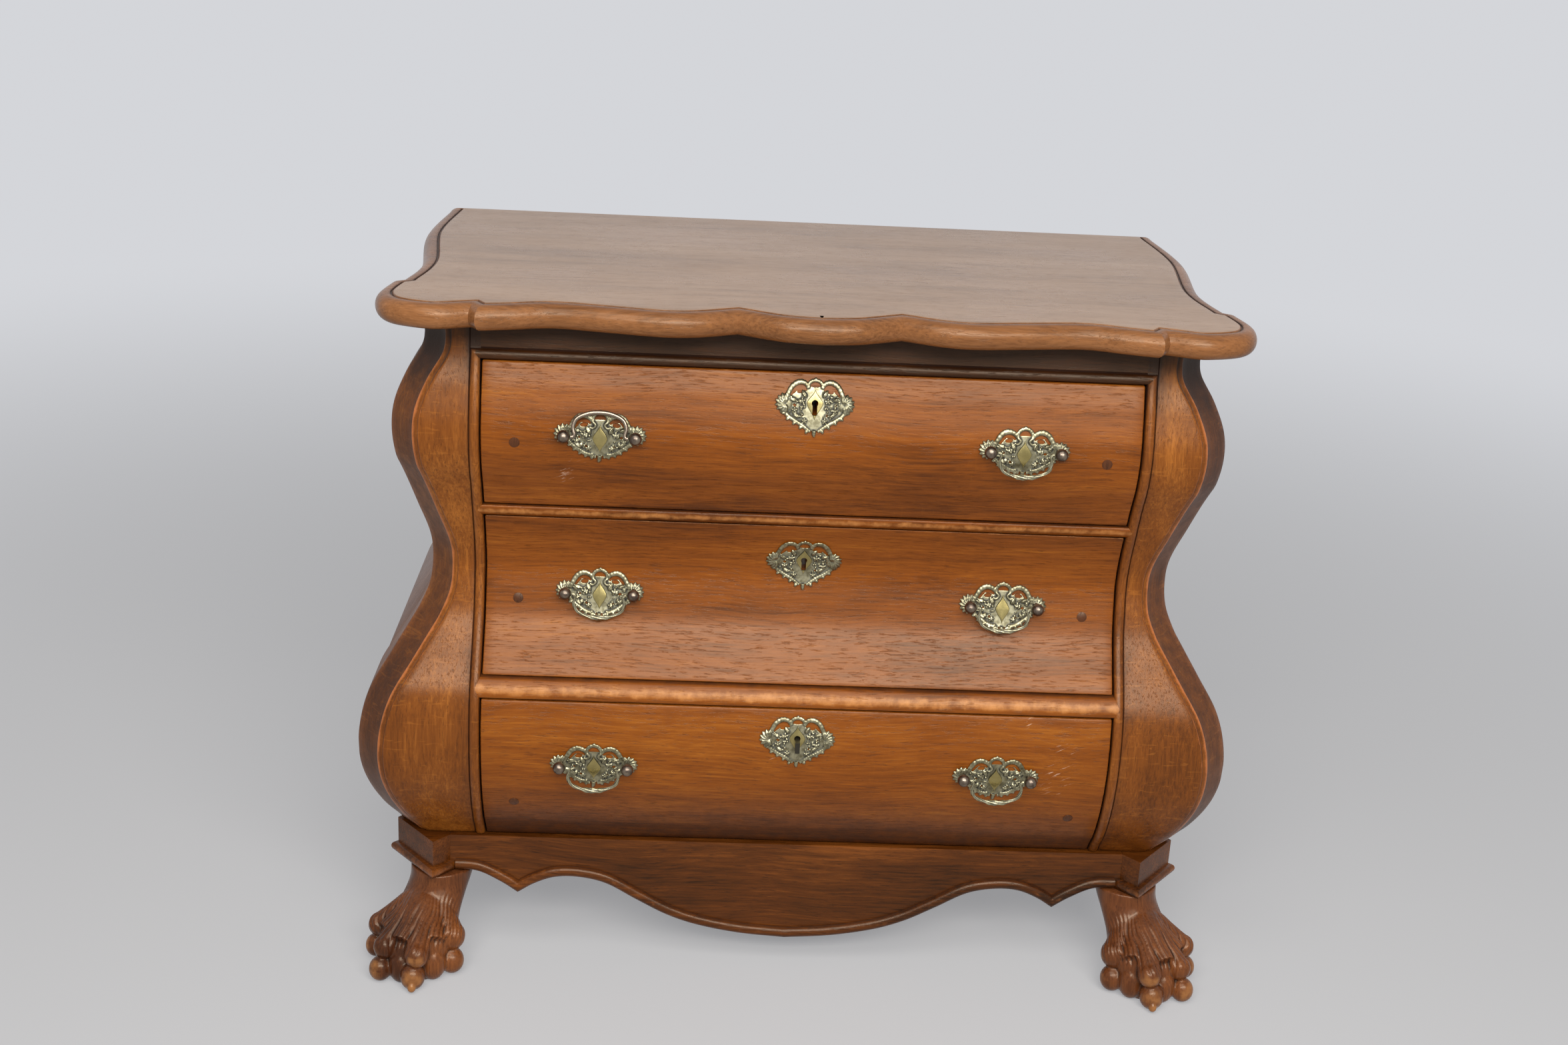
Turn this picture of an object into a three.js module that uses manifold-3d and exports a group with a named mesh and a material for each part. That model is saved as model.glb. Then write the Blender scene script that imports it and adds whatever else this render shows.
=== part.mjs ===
// Dutch style oak bombe chest with three drawers, brass handles and carved paw feet.
// Millimetres. X runs to the right, Y into the depth, Z up; the front faces -Y.
// The origin lies on the floor, below the middle of the chest's plan.
import * as THREE from "three";
import { mergeVertices } from "three/addons/utils/BufferGeometryUtils.js";
import Module from "manifold-3d";

const wasm = await Module();
wasm.setup();

// Heights, stacked from the floor up
const ankleTop = 113;
const plinthMouldingHeight = 13;
const plinthFaceHeight = 33;
const bottomDrawerHeight = 201;
const lowerRailHeight = 22;
const middleDrawerHeight = 184;
const upperRailHeight = 14;
const topDrawerHeight = 170;
const friezeHeight = 45;
const topThickness = 28;

// Plan of the case
const topDepth = 541;
const openingHalfWidth = 361;
const beadWidth = 11;
const beadProud = 4.5;
const postFaceWidth = 19.5;
const bulgeReach = 78.5;
const waistBack = 113.5;
const bellyDepth = 67;
const cantRun = 33.5;
const stripWidth = 5;
const stripFall = 2.5;
const postDepth = 47;

// Boards
const sideThickness = 18;
const sideSetBack = 3;
const backThickness = 12;
const dustThickness = 12;
const bottomThickness = 15;

// Clearances
const seat = 0.3;
const drawerGap = 1.5;
const overrun = 5;

const plinthMouldingTop = ankleTop + plinthMouldingHeight;
const plinthTop = plinthMouldingTop + plinthFaceHeight;
const lowerRailTop = plinthTop + bottomDrawerHeight + lowerRailHeight;
const upperRailTop = lowerRailTop + middleDrawerHeight + upperRailHeight;
const openingTop = upperRailTop + topDrawerHeight;
const caseTop = openingTop + friezeHeight;
const caseHeight = caseTop - plinthTop;
const caseBack = topDepth / 2 - backThickness;
const waistFront = topDepth / 2 - waistBack;
const postBack = waistFront - postDepth;
const arrisWaist = openingHalfWidth + beadWidth + postFaceWidth;

const oak = { color: 0x96561f, roughness: 0.42, metalness: 0 };
const topOak = { color: 0x8c6038, roughness: 0.36, metalness: 0 };
const darkOak = { color: 0x5a3018, roughness: 0.45, metalness: 0 };
const innerOak = { color: 0xa9855a, roughness: 0.7, metalness: 0 };
const oldBrass = { color: 0xa8a06c, roughness: 0.4, metalness: 0.9 };
const bronze = { color: 0x5b4a3c, roughness: 0.45, metalness: 0.85 };
const lockIron = { color: 0x6a665e, roughness: 0.5, metalness: 0.8 };

const chest = new THREE.Group();

// Facets of the round shapes
const bowSteps = 6;
const runSteps = 13;
const lobeSteps = 12;
const sideSteps = 10;
const postSteps = 24;
const panelSteps = 20;
const backSteps = 18;
const drawerSteps = 12;
const bellySteps = 18;
const archSteps = 4;
const dustSteps = 4;
const ballSides = 8;
const ballBands = 6;
const coreSides = 12;
const clawSides = 7;
const keySides = 12;
const stemSides = 6;
const holeSides = 6;
const quarterTurn = 90;
const mergeReach = 1e-3;

// Solids
function solidOf(geometry) {
  const plain = geometry.clone();
  plain.deleteAttribute("normal");
  plain.deleteAttribute("uv");
  const merged = mergeVertices(plain, mergeReach);
  const mesh = new wasm.Mesh({
    numProp: 3,
    vertProperties: new Float32Array(merged.attributes.position.array),
    triVerts: new Uint32Array(merged.index.array),
  });
  return new wasm.Manifold(mesh);
}

function geometryOf(solid) {
  const mesh = solid.getMesh();
  const geometry = new THREE.BufferGeometry();
  geometry.setAttribute("position", new THREE.BufferAttribute(mesh.vertProperties, 3));
  geometry.setIndex(new THREE.BufferAttribute(mesh.triVerts, 1));
  return geometry;
}

function place(name, shape, finish) {
  const geometry = shape.isBufferGeometry ? shape : geometryOf(shape);
  geometry.computeVertexNormals();
  const mesh = new THREE.Mesh(geometry, new THREE.MeshStandardMaterial(finish));
  mesh.name = name;
  chest.add(mesh);
}

// A closed body from triangles, turned so that its faces point out.
function bodyOf(triangles) {
  const flat = triangles.flat();
  let volume = 0;
  for (let i = 0; i < flat.length; i += 3) {
    volume += flat[i].dot(flat[i + 1].clone().cross(flat[i + 2]));
  }
  const ordered = volume < 0 ? flat.reverse() : flat;
  const geometry = new THREE.BufferGeometry().setFromPoints(ordered);
  return mergeVertices(geometry, mergeReach);
}

// A skin over rings that all have the same number of points; flatten shows a ring as a flat outline.
function loft(rings, flatten) {
  const count = rings[0].length;
  const triangles = [];
  for (let r = 0; r + 1 < rings.length; r += 1) {
    for (let i = 0; i < count; i += 1) {
      const j = (i + 1) % count;
      const [a, b, c, d] = [rings[r][i], rings[r][j], rings[r + 1][j], rings[r + 1][i]];
      triangles.push([a, b, c], [a, c, d]);
    }
  }
  for (const ring of [rings[0], rings[rings.length - 1]]) {
    const outline = ring.map(flatten);
    const clockwise = THREE.ShapeUtils.isClockWise(outline);
    for (const [i, j, k] of THREE.ShapeUtils.triangulateShape(outline, [])) {
      const turned = clockwise === (ring === rings[0]);
      triangles.push(turned ? [ring[i], ring[j], ring[k]] : [ring[i], ring[k], ring[j]]);
    }
  }
  return bodyOf(triangles);
}

const inPlan = (p) => new THREE.Vector2(p.x, p.y);
const fromSide = (p) => new THREE.Vector2(p.y, p.z);
const fromFront = (p) => new THREE.Vector2(p.x, p.z);

function box(x0, x1, y0, y1, z0, z1) {
  const geometry = new THREE.BoxGeometry(x1 - x0, y1 - y0, z1 - z0);
  return geometry.translate((x0 + x1) / 2, (y0 + y1) / 2, (z0 + z1) / 2);
}

// A side view outline, [y, z] pairs, run along X.
function alongX(outline, x0, x1) {
  const ringAt = (x) => outline.map(([y, z]) => new THREE.Vector3(x, y, z));
  return loft([ringAt(x0), ringAt(x1)], fromSide);
}

// A front view outline, [x, z] pairs, run along Y.
function alongY(outline, y0, y1) {
  const ringAt = (y) => outline.map(([x, z]) => new THREE.Vector3(x, y, z));
  return loft([ringAt(y0), ringAt(y1)], fromFront);
}

function mirrored(geometry) {
  return solidOf(geometry).mirror([1, 0, 0]);
}

// Smooth curve through [t, value] pairs.
function smooth(points, t) {
  const last = points.length - 1;
  let i = 0;
  while (i < last - 1 && t > points[i + 1][0]) i += 1;
  const slopeAt = (k) => {
    const before = points[Math.max(k - 1, 0)];
    const after = points[Math.min(k + 1, last)];
    return (after[1] - before[1]) / (after[0] - before[0]);
  };
  const [t0, v0] = points[i];
  const [t1, v1] = points[i + 1];
  const span = t1 - t0;
  const u = THREE.MathUtils.clamp((t - t0) / span, 0, 1);
  const rise = u * u * (3 - 2 * u);
  const start = u * (1 - u) * (1 - u) * span * slopeAt(i);
  const finish = u * u * (1 - u) * span * slopeAt(i + 1);
  return v0 + (v1 - v0) * rise + start - finish;
}

function steps(from, to, count) {
  return Array.from({ length: count + 1 }, (_, i) => from + ((to - from) * i) / count);
}

// The double curve of the front: shares of the case height, then shares of the belly depth.
const frontShares = [
  [0, 0.06],
  [0.017, 0.17],
  [0.057, 0.48],
  [0.11, 0.75],
  [0.167, 0.93],
  [0.239, 1],
  [0.313, 0.9],
  [0.358, 0.7],
  [0.401, 0.45],
  [0.445, 0.22],
  [0.489, 0.09],
  [0.539, 0],
  [0.583, 0.08],
  [0.637, 0.28],
  [0.693, 0.5],
  [0.752, 0.78],
  [0.81, 0.86],
  [0.879, 0.73],
  [0.936, 0.57],
  [1, 0.51],
];

// The curve of the front corner arris: shares of the case height, then of the bulge's reach.
const arrisShares = [
  [0, 0.49],
  [0.039, 0.66],
  [0.116, 0.91],
  [0.181, 1],
  [0.248, 0.96],
  [0.311, 0.81],
  [0.369, 0.53],
  [0.417, 0.29],
  [0.442, 0.17],
  [0.486, 0.03],
  [0.533, 0],
  [0.575, 0.03],
  [0.637, 0.17],
  [0.72, 0.36],
  [0.741, 0.41],
  [0.796, 0.45],
  [0.843, 0.41],
  [0.892, 0.25],
  [0.942, 0.03],
  [1, 0.03],
];

const heightShare = (z) => (z - plinthTop) / caseHeight;
const frontAt = (z) => -waistFront - bellyDepth * smooth(frontShares, heightShare(z));
const arrisAt = (z) => arrisWaist + bulgeReach * smooth(arrisShares, heightShare(z));
const postSideAt = (z) => arrisAt(z) + cantRun;
const panelSideAt = (z) => postSideAt(z) - sideSetBack;

// Half round across a width: [share across, share proud] pairs.
const halfRoundShares = [
  [0, 0],
  [0.1, 0.65],
  [0.35, 1],
  [0.65, 1],
  [0.9, 0.65],
  [1, 0],
];

// Top board
const swellFront = topDepth / 2;
const notchInset = 2;
const runEnd = { x: openingHalfWidth - notchInset, back: 2 };
const cusp = { x: 87, back: 30 };
const sideSwell = { x: 163, back: 6 };
const hollow = { beforeEnd: 80, back: 25 };
const notchStep = { x: 8, y: 13 };
const lobe = { out: 111, front: 3, cornerOut: 93, cornerBack: 21 };
const lobeEnd = { out: 105, back: 118, sideBack: 60 };
const sideNotch = { out: 95, step: 8 };
const sideHollow = { out: 86, back: 220.5 };
const sideBelly = { out: 104, fromBack: 155.5 };
const backCornerOut = 97;
const backCornerX = runEnd.x + backCornerOut;
const edgeInset = 10;
const panelInset = 16;
const grooveWidth = 2.5;
const grooveDepth = 1.5;
const softInset = 2;
const stretchLimit = 2;
const bluntShare = 0.12;
const backInsetShare = 0.06;
const grooveEnd = 9;

function curveThrough(points, count) {
  const curve = new THREE.SplineCurve(points.map(([x, y]) => new THREE.Vector2(x, y)));
  return curve.getPoints(count);
}

// Half of the plan, from the middle of the front to the back corner.
function topHalfOutline() {
  const front = -swellFront;
  const hollowX = runEnd.x - hollow.beforeEnd;
  const bow = curveThrough(
    [
      [0, front],
      [cusp.x / 2, front + cusp.back / 4],
      [cusp.x, front + cusp.back],
    ],
    bowSteps,
  );
  const run = curveThrough(
    [
      [cusp.x, front + cusp.back],
      [(cusp.x + sideSwell.x) / 2, front + (cusp.back + sideSwell.back) / 3],
      [sideSwell.x, front + sideSwell.back],
      [(sideSwell.x + hollowX) / 2, front + (sideSwell.back + hollow.back) / 2],
      [hollowX, front + hollow.back],
      [(hollowX + runEnd.x) / 2, front + (hollow.back + runEnd.back) / 2],
      [runEnd.x, front + runEnd.back],
    ],
    runSteps,
  );
  const corner = curveThrough(
    [
      [runEnd.x + notchStep.x, front + runEnd.back + notchStep.y],
      [runEnd.x + lobe.cornerOut / 2, front + lobe.front],
      [runEnd.x + lobe.cornerOut, front + lobe.cornerBack],
      [runEnd.x + lobe.out, front + lobeEnd.sideBack],
      [runEnd.x + lobeEnd.out, front + lobeEnd.back],
    ],
    lobeSteps,
  );
  const side = curveThrough(
    [
      [runEnd.x + sideNotch.out, front + lobeEnd.back + sideNotch.step],
      [runEnd.x + sideHollow.out, front + sideHollow.back],
      [runEnd.x + sideBelly.out, topDepth / 2 - sideBelly.fromBack],
      [backCornerX, topDepth / 2 - grooveEnd],
    ],
    sideSteps,
  );
  const backCorner = new THREE.Vector2(backCornerX, topDepth / 2);
  return [...bow, ...run.slice(1), ...corner, ...side, backCorner];
}

function topOutline() {
  const half = topHalfOutline();
  const other = half.slice(1).map((p) => new THREE.Vector2(-p.x, p.y));
  return [...half, ...other.reverse()];
}

const atBack = (p) => p.y > topDepth / 2 - seat;

// The outline drawn in by an inset; the straight back edge stays where it is.
function drawnIn(outline, inset) {
  const count = outline.length;
  return outline.map((p, i) => {
    const before = outline[(i + count - 1) % count];
    const after = outline[(i + 1) % count];
    const a = p.clone().sub(before).normalize();
    const b = after.clone().sub(p).normalize();
    const normal = new THREE.Vector2(-a.y - b.y, a.x + b.x).normalize();
    const stretch = Math.min(1 / normal.dot(new THREE.Vector2(-a.y, a.x)), stretchLimit);
    const moved = p.clone().addScaledVector(normal, inset * stretch);
    if (!atBack(p)) return moved;
    const fromBack = Math.max(inset - edgeInset, 0) * backInsetShare;
    return new THREE.Vector2(p.x - Math.sign(p.x) * inset, p.y - fromBack);
  });
}

function topBoard() {
  const outline = topOutline();
  const full = topThickness - seat;
  const levels = [
    [edgeInset, 0],
    [softInset, full * bluntShare],
    [0, full / 2],
    [softInset, full * (1 - bluntShare)],
    [edgeInset, full],
    [panelInset, full],
    [panelInset + grooveWidth / 2, full - grooveDepth],
    [panelInset + grooveWidth, full],
  ];
  const rings = levels.map(([inset, rise]) => {
    const flat = drawnIn(outline, inset);
    const heightAt = (i) => caseTop + seat + (inset > edgeInset && atBack(outline[i]) ? full : rise);
    return flat.map((p, i) => new THREE.Vector3(p.x, p.y, heightAt(i)));
  });
  return loft(rings, inPlan);
}

place("top_board", topBoard(), topOak);

// Front posts, with the bead that frames the drawers
const postLevels = steps(plinthTop + seat, caseTop, postSteps);

function postSection(z) {
  const front = frontAt(z);
  const bead = halfRoundShares.map(([across, proud]) => [
    openingHalfWidth + beadWidth * across,
    front - beadProud * proud,
  ]);
  const arris = arrisAt(z);
  const side = postSideAt(z);
  const outline = [
    ...bead,
    [arris, front],
    [arris + stripWidth, front + stripFall],
    [side, front + cantRun],
    [side, -postBack],
    [openingHalfWidth, -postBack],
  ];
  return outline.map(([x, y]) => new THREE.Vector3(x, y, z));
}

const frontPost = loft(postLevels.map(postSection), inPlan);
place("front_post_right", frontPost, oak);
place("front_post_left", mirrored(frontPost), oak);

// Side panels, curved like the posts
function sideSection(z) {
  const outer = panelSideAt(z);
  const inner = outer - sideThickness;
  const outline = [
    [inner, seat - postBack],
    [outer, seat - postBack],
    [outer, caseBack],
    [inner, caseBack],
  ];
  return outline.map(([x, y]) => new THREE.Vector3(x, y, z));
}

const sidePanel = loft(steps(plinthTop + seat, caseTop, panelSteps).map(sideSection), inPlan);
place("side_panel_right", sidePanel, oak);
place("side_panel_left", mirrored(sidePanel), oak);

// Back panel, nailed over the ends of the sides
const apronOverhang = 41;
const apronHalfWidth = openingHalfWidth + apronOverhang;
const plinthSideOut = 48;
const plinthSideX = apronHalfWidth + plinthSideOut;
const plinthSideThickness = 22;

function backOutline() {
  const rising = steps(plinthTop, caseTop, backSteps).map((z) => [panelSideAt(z), z]);
  const half = [[plinthSideX, plinthMouldingTop], [plinthSideX, plinthTop - seat], ...rising];
  const other = half.map(([x, z]) => [-x, z]).reverse();
  return [...half, ...other];
}

place("back_panel", alongY(backOutline(), caseBack + seat, topDepth / 2), innerOak);

// Locks, needed first for the mortises that their bolts enter
const boltWidth = 20;
const boltThickness = 6;
const boltTravel = 6;
const boltBelowEdge = 1;
const boltInsideCase = 14;
const lockWidth = 56;
const lockThickness = 11;
const lockAboveKey = 20;
const lockBelowKey = 22;
const mortisePlay = 1;

// Drawers: opening, key height, handle height, wood left behind the thinnest place of the front
const frontThickness = 18;
const drawers = [
  { name: "top", low: upperRailTop, height: topDrawerHeight, keyDown: 32, handleUp: 91.5 },
  { name: "middle", low: lowerRailTop, height: middleDrawerHeight, keyDown: 47, handleUp: 87.6 },
  { name: "bottom", low: plinthTop, height: bottomDrawerHeight, keyDown: 34, handleUp: 122 },
];
for (const drawer of drawers) {
  drawer.high = drawer.low + drawer.height;
  drawer.key = drawer.high - drawer.keyDown;
  drawer.handle = drawer.low + drawer.handleUp;
  drawer.levels = steps(drawer.low + drawerGap, drawer.high - drawerGap, drawerSteps);
  const thinnest = Math.max(...drawer.levels.map(frontAt));
  drawer.inner = thinnest + frontThickness;
  drawer.boltFront = drawer.inner + seat + lockThickness - boltThickness - seat;
}

function mortise(drawer) {
  const x = boltWidth / 2 + mortisePlay;
  const y0 = drawer.boltFront - mortisePlay;
  const y1 = drawer.boltFront + boltThickness + mortisePlay;
  const top = drawer.high + boltTravel + mortisePlay;
  return solidOf(box(-x, x, y0, y1, drawer.high - overrun, top));
}

// Rails and the frieze, each with its half round
function railOutline(low, high, top) {
  const moulded = halfRoundShares.map(([across, proud]) => {
    const z = low + (high - low) * across;
    return [frontAt(z) - beadProud * proud, z];
  });
  return [[-postBack, low], ...moulded, [frontAt(top), top], [-postBack, top]];
}

function rail(low, high, top, drawerBelow) {
  const reach = openingHalfWidth - seat;
  const outline = railOutline(low, high, top);
  const tidy = top > high ? outline : outline.filter((_, i) => i !== outline.length - 2);
  return solidOf(alongX(tidy, -reach, reach)).subtract(mortise(drawerBelow));
}

place("frieze_rail", rail(openingTop, openingTop + beadWidth, caseTop, drawers[0]), oak);
const upperRail = rail(upperRailTop - upperRailHeight, upperRailTop, upperRailTop, drawers[1]);
place("drawer_rail_upper", upperRail, oak);
const lowerRail = rail(lowerRailTop - lowerRailHeight, lowerRailTop, lowerRailTop, drawers[2]);
place("drawer_rail_lower", lowerRail, oak);

// Dust boards, which the upper drawers run on
function dustBoard(top) {
  const levels = steps(top - dustThickness, top, dustSteps);
  const half = Math.min(...levels.map(panelSideAt)) - sideThickness - seat;
  return box(-half, half, seat - postBack, caseBack, top - dustThickness, top);
}

place("dust_board_upper", dustBoard(upperRailTop), innerOak);
place("dust_board_lower", dustBoard(lowerRailTop), innerOak);

// Plinth: apron, corner blocks set on the diagonal, sides, bottom board
const apronStep = 12;
const apronFront = waistFront + apronStep;
const apronThickness = 22;
const blockTipOut = { x: 17.5, y: 19 };
const blockCornerOut = { x: 67, back: 41 };
const blockBackRun = { start: 60, end: 69 };
const blockTip = { x: apronHalfWidth + blockTipOut.x, y: apronFront + blockTipOut.y };
const blockOut = { x: apronHalfWidth + blockCornerOut.x, y: apronFront - blockCornerOut.back };
const blockBack = {
  x: plinthSideX,
  y: apronFront - blockBackRun.start,
  end: apronFront - blockBackRun.end,
};
const apronMouldingWidth = 13;
const apronMouldingProud = 6.5;
const plinthMouldingProud = 7;

// Lower edge of the apron: shares of its half width, then of its deepest drop.
const apronDrop = 92;
const apronEdge = plinthMouldingTop;
const cuspShare = 0.8;
const apronShares = [
  [
    [0, 1],
    [0.14, 0.95],
    [0.27, 0.84],
    [0.36, 0.7],
    [0.45, 0.49],
    [0.54, 0.27],
    [0.62, 0.19],
    [0.69, 0.2],
    [0.75, 0.3],
    [cuspShare, 0.44],
  ],
  [
    [cuspShare, 0.44],
    [0.85, 0.29],
    [0.92, 0.14],
    [1, 0.12],
  ],
];

function apronHalfEdge() {
  const [belly, arch] = apronShares;
  const bellyAt = steps(0, cuspShare, bellySteps).map((t) => [t, smooth(belly, t)]);
  const archAt = steps(cuspShare, 1, archSteps).map((t) => [t, smooth(arch, t)]);
  const both = [...bellyAt, ...archAt.slice(1)];
  return both.map(([t, drop]) => [apronHalfWidth * t, apronEdge - apronDrop * drop]);
}

function apronEdgeLine() {
  const half = apronHalfEdge();
  const other = half.slice(1).map(([x, z]) => [-x, z]);
  return [...other.reverse(), ...half];
}

const apronOutline = [...apronEdgeLine(), [apronHalfWidth, plinthTop], [-apronHalfWidth, plinthTop]];
place("apron", alongY(apronOutline, -apronFront, apronThickness - apronFront), oak);

// Half round that follows the lower edge of the apron
function apronMoulding() {
  const mitre = apronHalfWidth - 2 * plinthMouldingProud;
  const inside = apronEdgeLine().filter(([x]) => Math.abs(x) < mitre - overrun);
  const endZ = apronHalfEdge().at(-1)[1];
  const line = [[-mitre, endZ], ...inside, [mitre, endZ]];
  const rings = line.map(([x, z], i) => {
    const [x0, z0] = line[Math.max(i - 1, 0)];
    const [x1, z1] = line[Math.min(i + 1, line.length - 1)];
    const a = new THREE.Vector2(x - x0, z - z0).normalize();
    const b = new THREE.Vector2(x1 - x, z1 - z).normalize();
    const up = new THREE.Vector2(-a.y - b.y, a.x + b.x).normalize();
    const stretch = a.length() && b.length() ? 1 / up.dot(new THREE.Vector2(-a.y, a.x)) : 1;
    return halfRoundShares.map(([across, proud]) => {
      const shift = apronMouldingWidth * across * stretch;
      const y = -apronFront - seat - apronMouldingProud * proud;
      return new THREE.Vector3(x + up.x * shift, y, z + up.y * shift);
    });
  });
  const endOn = (p) => new THREE.Vector2(p.y, p.z);
  return loft(rings, endOn);
}

place("apron_moulding", apronMoulding(), oak);

// Corner block: the worked half round stands proud of its three outer faces
function blockRing(z, proud) {
  const inner = apronHalfWidth + seat;
  const face = -apronFront - seat;
  const corners = [
    [inner, face],
    [blockTip.x, -blockTip.y],
    [blockOut.x, -blockOut.y],
    [blockBack.x, -blockBack.y],
    [blockBack.x, -blockBack.end],
  ].map(([x, y]) => new THREE.Vector2(x, y));
  const edges = corners.slice(1).map((p, i) => p.clone().sub(corners[i]).normalize());
  const normals = edges.map((e) => new THREE.Vector2(e.y, -e.x));
  const first = corners[0].clone().add(new THREE.Vector2(proud / normals[0].x, 0));
  const moved = [1, 2, 3].map((i) => {
    const sum = normals[i - 1].clone().add(normals[i]);
    return corners[i].clone().addScaledVector(sum, proud / (1 + normals[i - 1].dot(normals[i])));
  });
  const last = corners[4].clone().addScaledVector(normals[3], proud);
  const outline = [first, ...moved, last];
  outline.push(new THREE.Vector2(inner, -blockBack.end), new THREE.Vector2(inner, face));
  return outline.map((p) => new THREE.Vector3(p.x, p.y, z));
}

function mouldedLevels(low, high, top, proud) {
  const worked = halfRoundShares.map(([across, share]) => {
    return [low + (high - low) * across, Math.max(proud * share, seat)];
  });
  return [...worked, [top, seat]];
}

const blockLevels = mouldedLevels(ankleTop, plinthMouldingTop, plinthTop, plinthMouldingProud);
const cornerBlock = loft(blockLevels.map(([z, proud]) => blockRing(z, proud)), inPlan);
place("corner_block_right", cornerBlock, oak);
place("corner_block_left", mirrored(cornerBlock), oak);

function plinthSideBoard() {
  const innerX = plinthSideX - plinthSideThickness;
  const outline = blockLevels.map(([z, proud]) => [plinthSideX + proud, z]);
  outline.push([innerX, plinthTop], [innerX, ankleTop]);
  return alongY(outline, seat - blockBack.end, caseBack);
}

place("plinth_side_right", plinthSideBoard(), oak);
place("plinth_side_left", mirrored(plinthSideBoard()), oak);

const bottomHalf = plinthSideX - plinthSideThickness - seat;
const bottomFront = apronThickness - apronFront + seat;
const bottomHalfPlan = [
  [apronHalfWidth, bottomFront],
  [apronHalfWidth, seat - blockBack.end],
  [bottomHalf, seat - blockBack.end],
  [bottomHalf, caseBack],
];
const bottomPlan = [...bottomHalfPlan, ...bottomHalfPlan.map(([x, y]) => [-x, y]).reverse()];
const bottomRings = [plinthTop - bottomThickness, plinthTop].map((z) =>
  bottomPlan.map(([x, y]) => new THREE.Vector3(x, y, z)),
);
place("bottom_board", loft(bottomRings, inPlan), innerOak);

// Feet: a paw with four toes, each with a knuckle, a ball and a claw
const pawTurn = 20;
const rearPawTurn = 88;
const toeSpread = 58;
const toeShares = [-1.5, -0.5, 0.5, 1.5];
const ankleRadius = 38;
const instepRadius = 45;
const knuckle = { radius: 13, reach: 47, z: 45 };
const toeBall = { radius: 12.5, reach: 52, z: 17 };
const claw = { radius: 5.5, reach: 58, z: 9, length: 14, fall: 38 };
const pawOut = { front: 36, ahead: 31, rear: 18, fromBack: 68 };
const frontFoot = {
  x: apronHalfWidth + pawOut.front,
  y: -apronFront - pawOut.ahead,
  ankle: { x: -25, y: 52 },
};
const rearFoot = {
  x: apronHalfWidth + pawOut.rear,
  y: topDepth / 2 - pawOut.fromBack,
  ankle: { x: 2, y: -8.5 },
};

// The core: shares of the instep's radius, of the ankle's height, and of the way to the ankle.
const pawShares = [
  [0.8, 0, 0],
  [0.95, 0.12, 0],
  [1, 0.28, 0.02],
  [0.98, 0.42, 0.1],
  [0.86, 0.56, 0.36],
  [0.78, 0.72, 0.68],
  [0.78, 0.86, 0.9],
  [ankleRadius / instepRadius, 1, 1],
];

function toeAt(angle) {
  const turn = THREE.MathUtils.degToRad(angle);
  const across = Math.sin(turn);
  const ahead = -Math.cos(turn);
  const ballAt = ({ radius, reach, z }) => {
    const ball = new THREE.SphereGeometry(radius, ballSides, ballBands);
    return solidOf(ball.translate(across * reach, ahead * reach, z));
  };
  const tip = new THREE.ConeGeometry(claw.radius, claw.length, clawSides);
  tip.rotateX(THREE.MathUtils.degToRad(quarterTurn + claw.fall));
  tip.rotateZ(turn);
  tip.translate(across * claw.reach, ahead * claw.reach, claw.z);
  return ballAt(knuckle).add(ballAt(toeBall)).add(solidOf(tip));
}

function pawCore(ankle) {
  const height = ankleTop - seat;
  const angles = steps(0, 2 * Math.PI, coreSides).slice(0, -1);
  const rings = pawShares.map(([r, z, way]) =>
    angles.map((angle) => {
      const x = ankle.x * way + instepRadius * r * Math.cos(angle);
      const y = ankle.y * way + instepRadius * r * Math.sin(angle);
      return new THREE.Vector3(x, y, height * z);
    }),
  );
  return solidOf(loft(rings, inPlan));
}

function paw(ankle, turned) {
  let foot = pawCore(ankle);
  for (const share of toeShares) {
    foot = foot.add(toeAt(turned + toeSpread * share));
  }
  const floor = box(-topDepth, topDepth, -topDepth, topDepth, -topDepth, 0);
  return foot.subtract(solidOf(floor));
}

function placeFoot(name, spot, turned) {
  const right = paw(spot.ankle, turned).translate([spot.x, spot.y, 0]);
  place(name + "_right", right, darkOak);
  place(name + "_left", right.mirror([1, 0, 0]), darkOak);
}

placeFoot("front_foot", frontFoot, pawTurn);
placeFoot("rear_foot", rearFoot, rearPawTurn);

// Drawers
const drawerSideThickness = 12;
const behindDrawer = 23.5;
const drawerBackY = caseBack - behindDrawer;
const drawerBottomThickness = 6;
const drawerBottomRise = 8;
const sideBelowTop = 6;
const keyRadius = 2.8;
const keySlotHalf = 1.5;
const keySlotLength = 12;

function keyholeCut(drawer, y0, y1) {
  const slot = box(-keySlotHalf, keySlotHalf, y0, y1, drawer.key - keySlotLength, drawer.key);
  const round = new THREE.CylinderGeometry(keyRadius, keyRadius, y1 - y0, keySides);
  round.translate(0, (y0 + y1) / 2, drawer.key);
  return solidOf(slot).add(solidOf(round));
}

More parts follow.
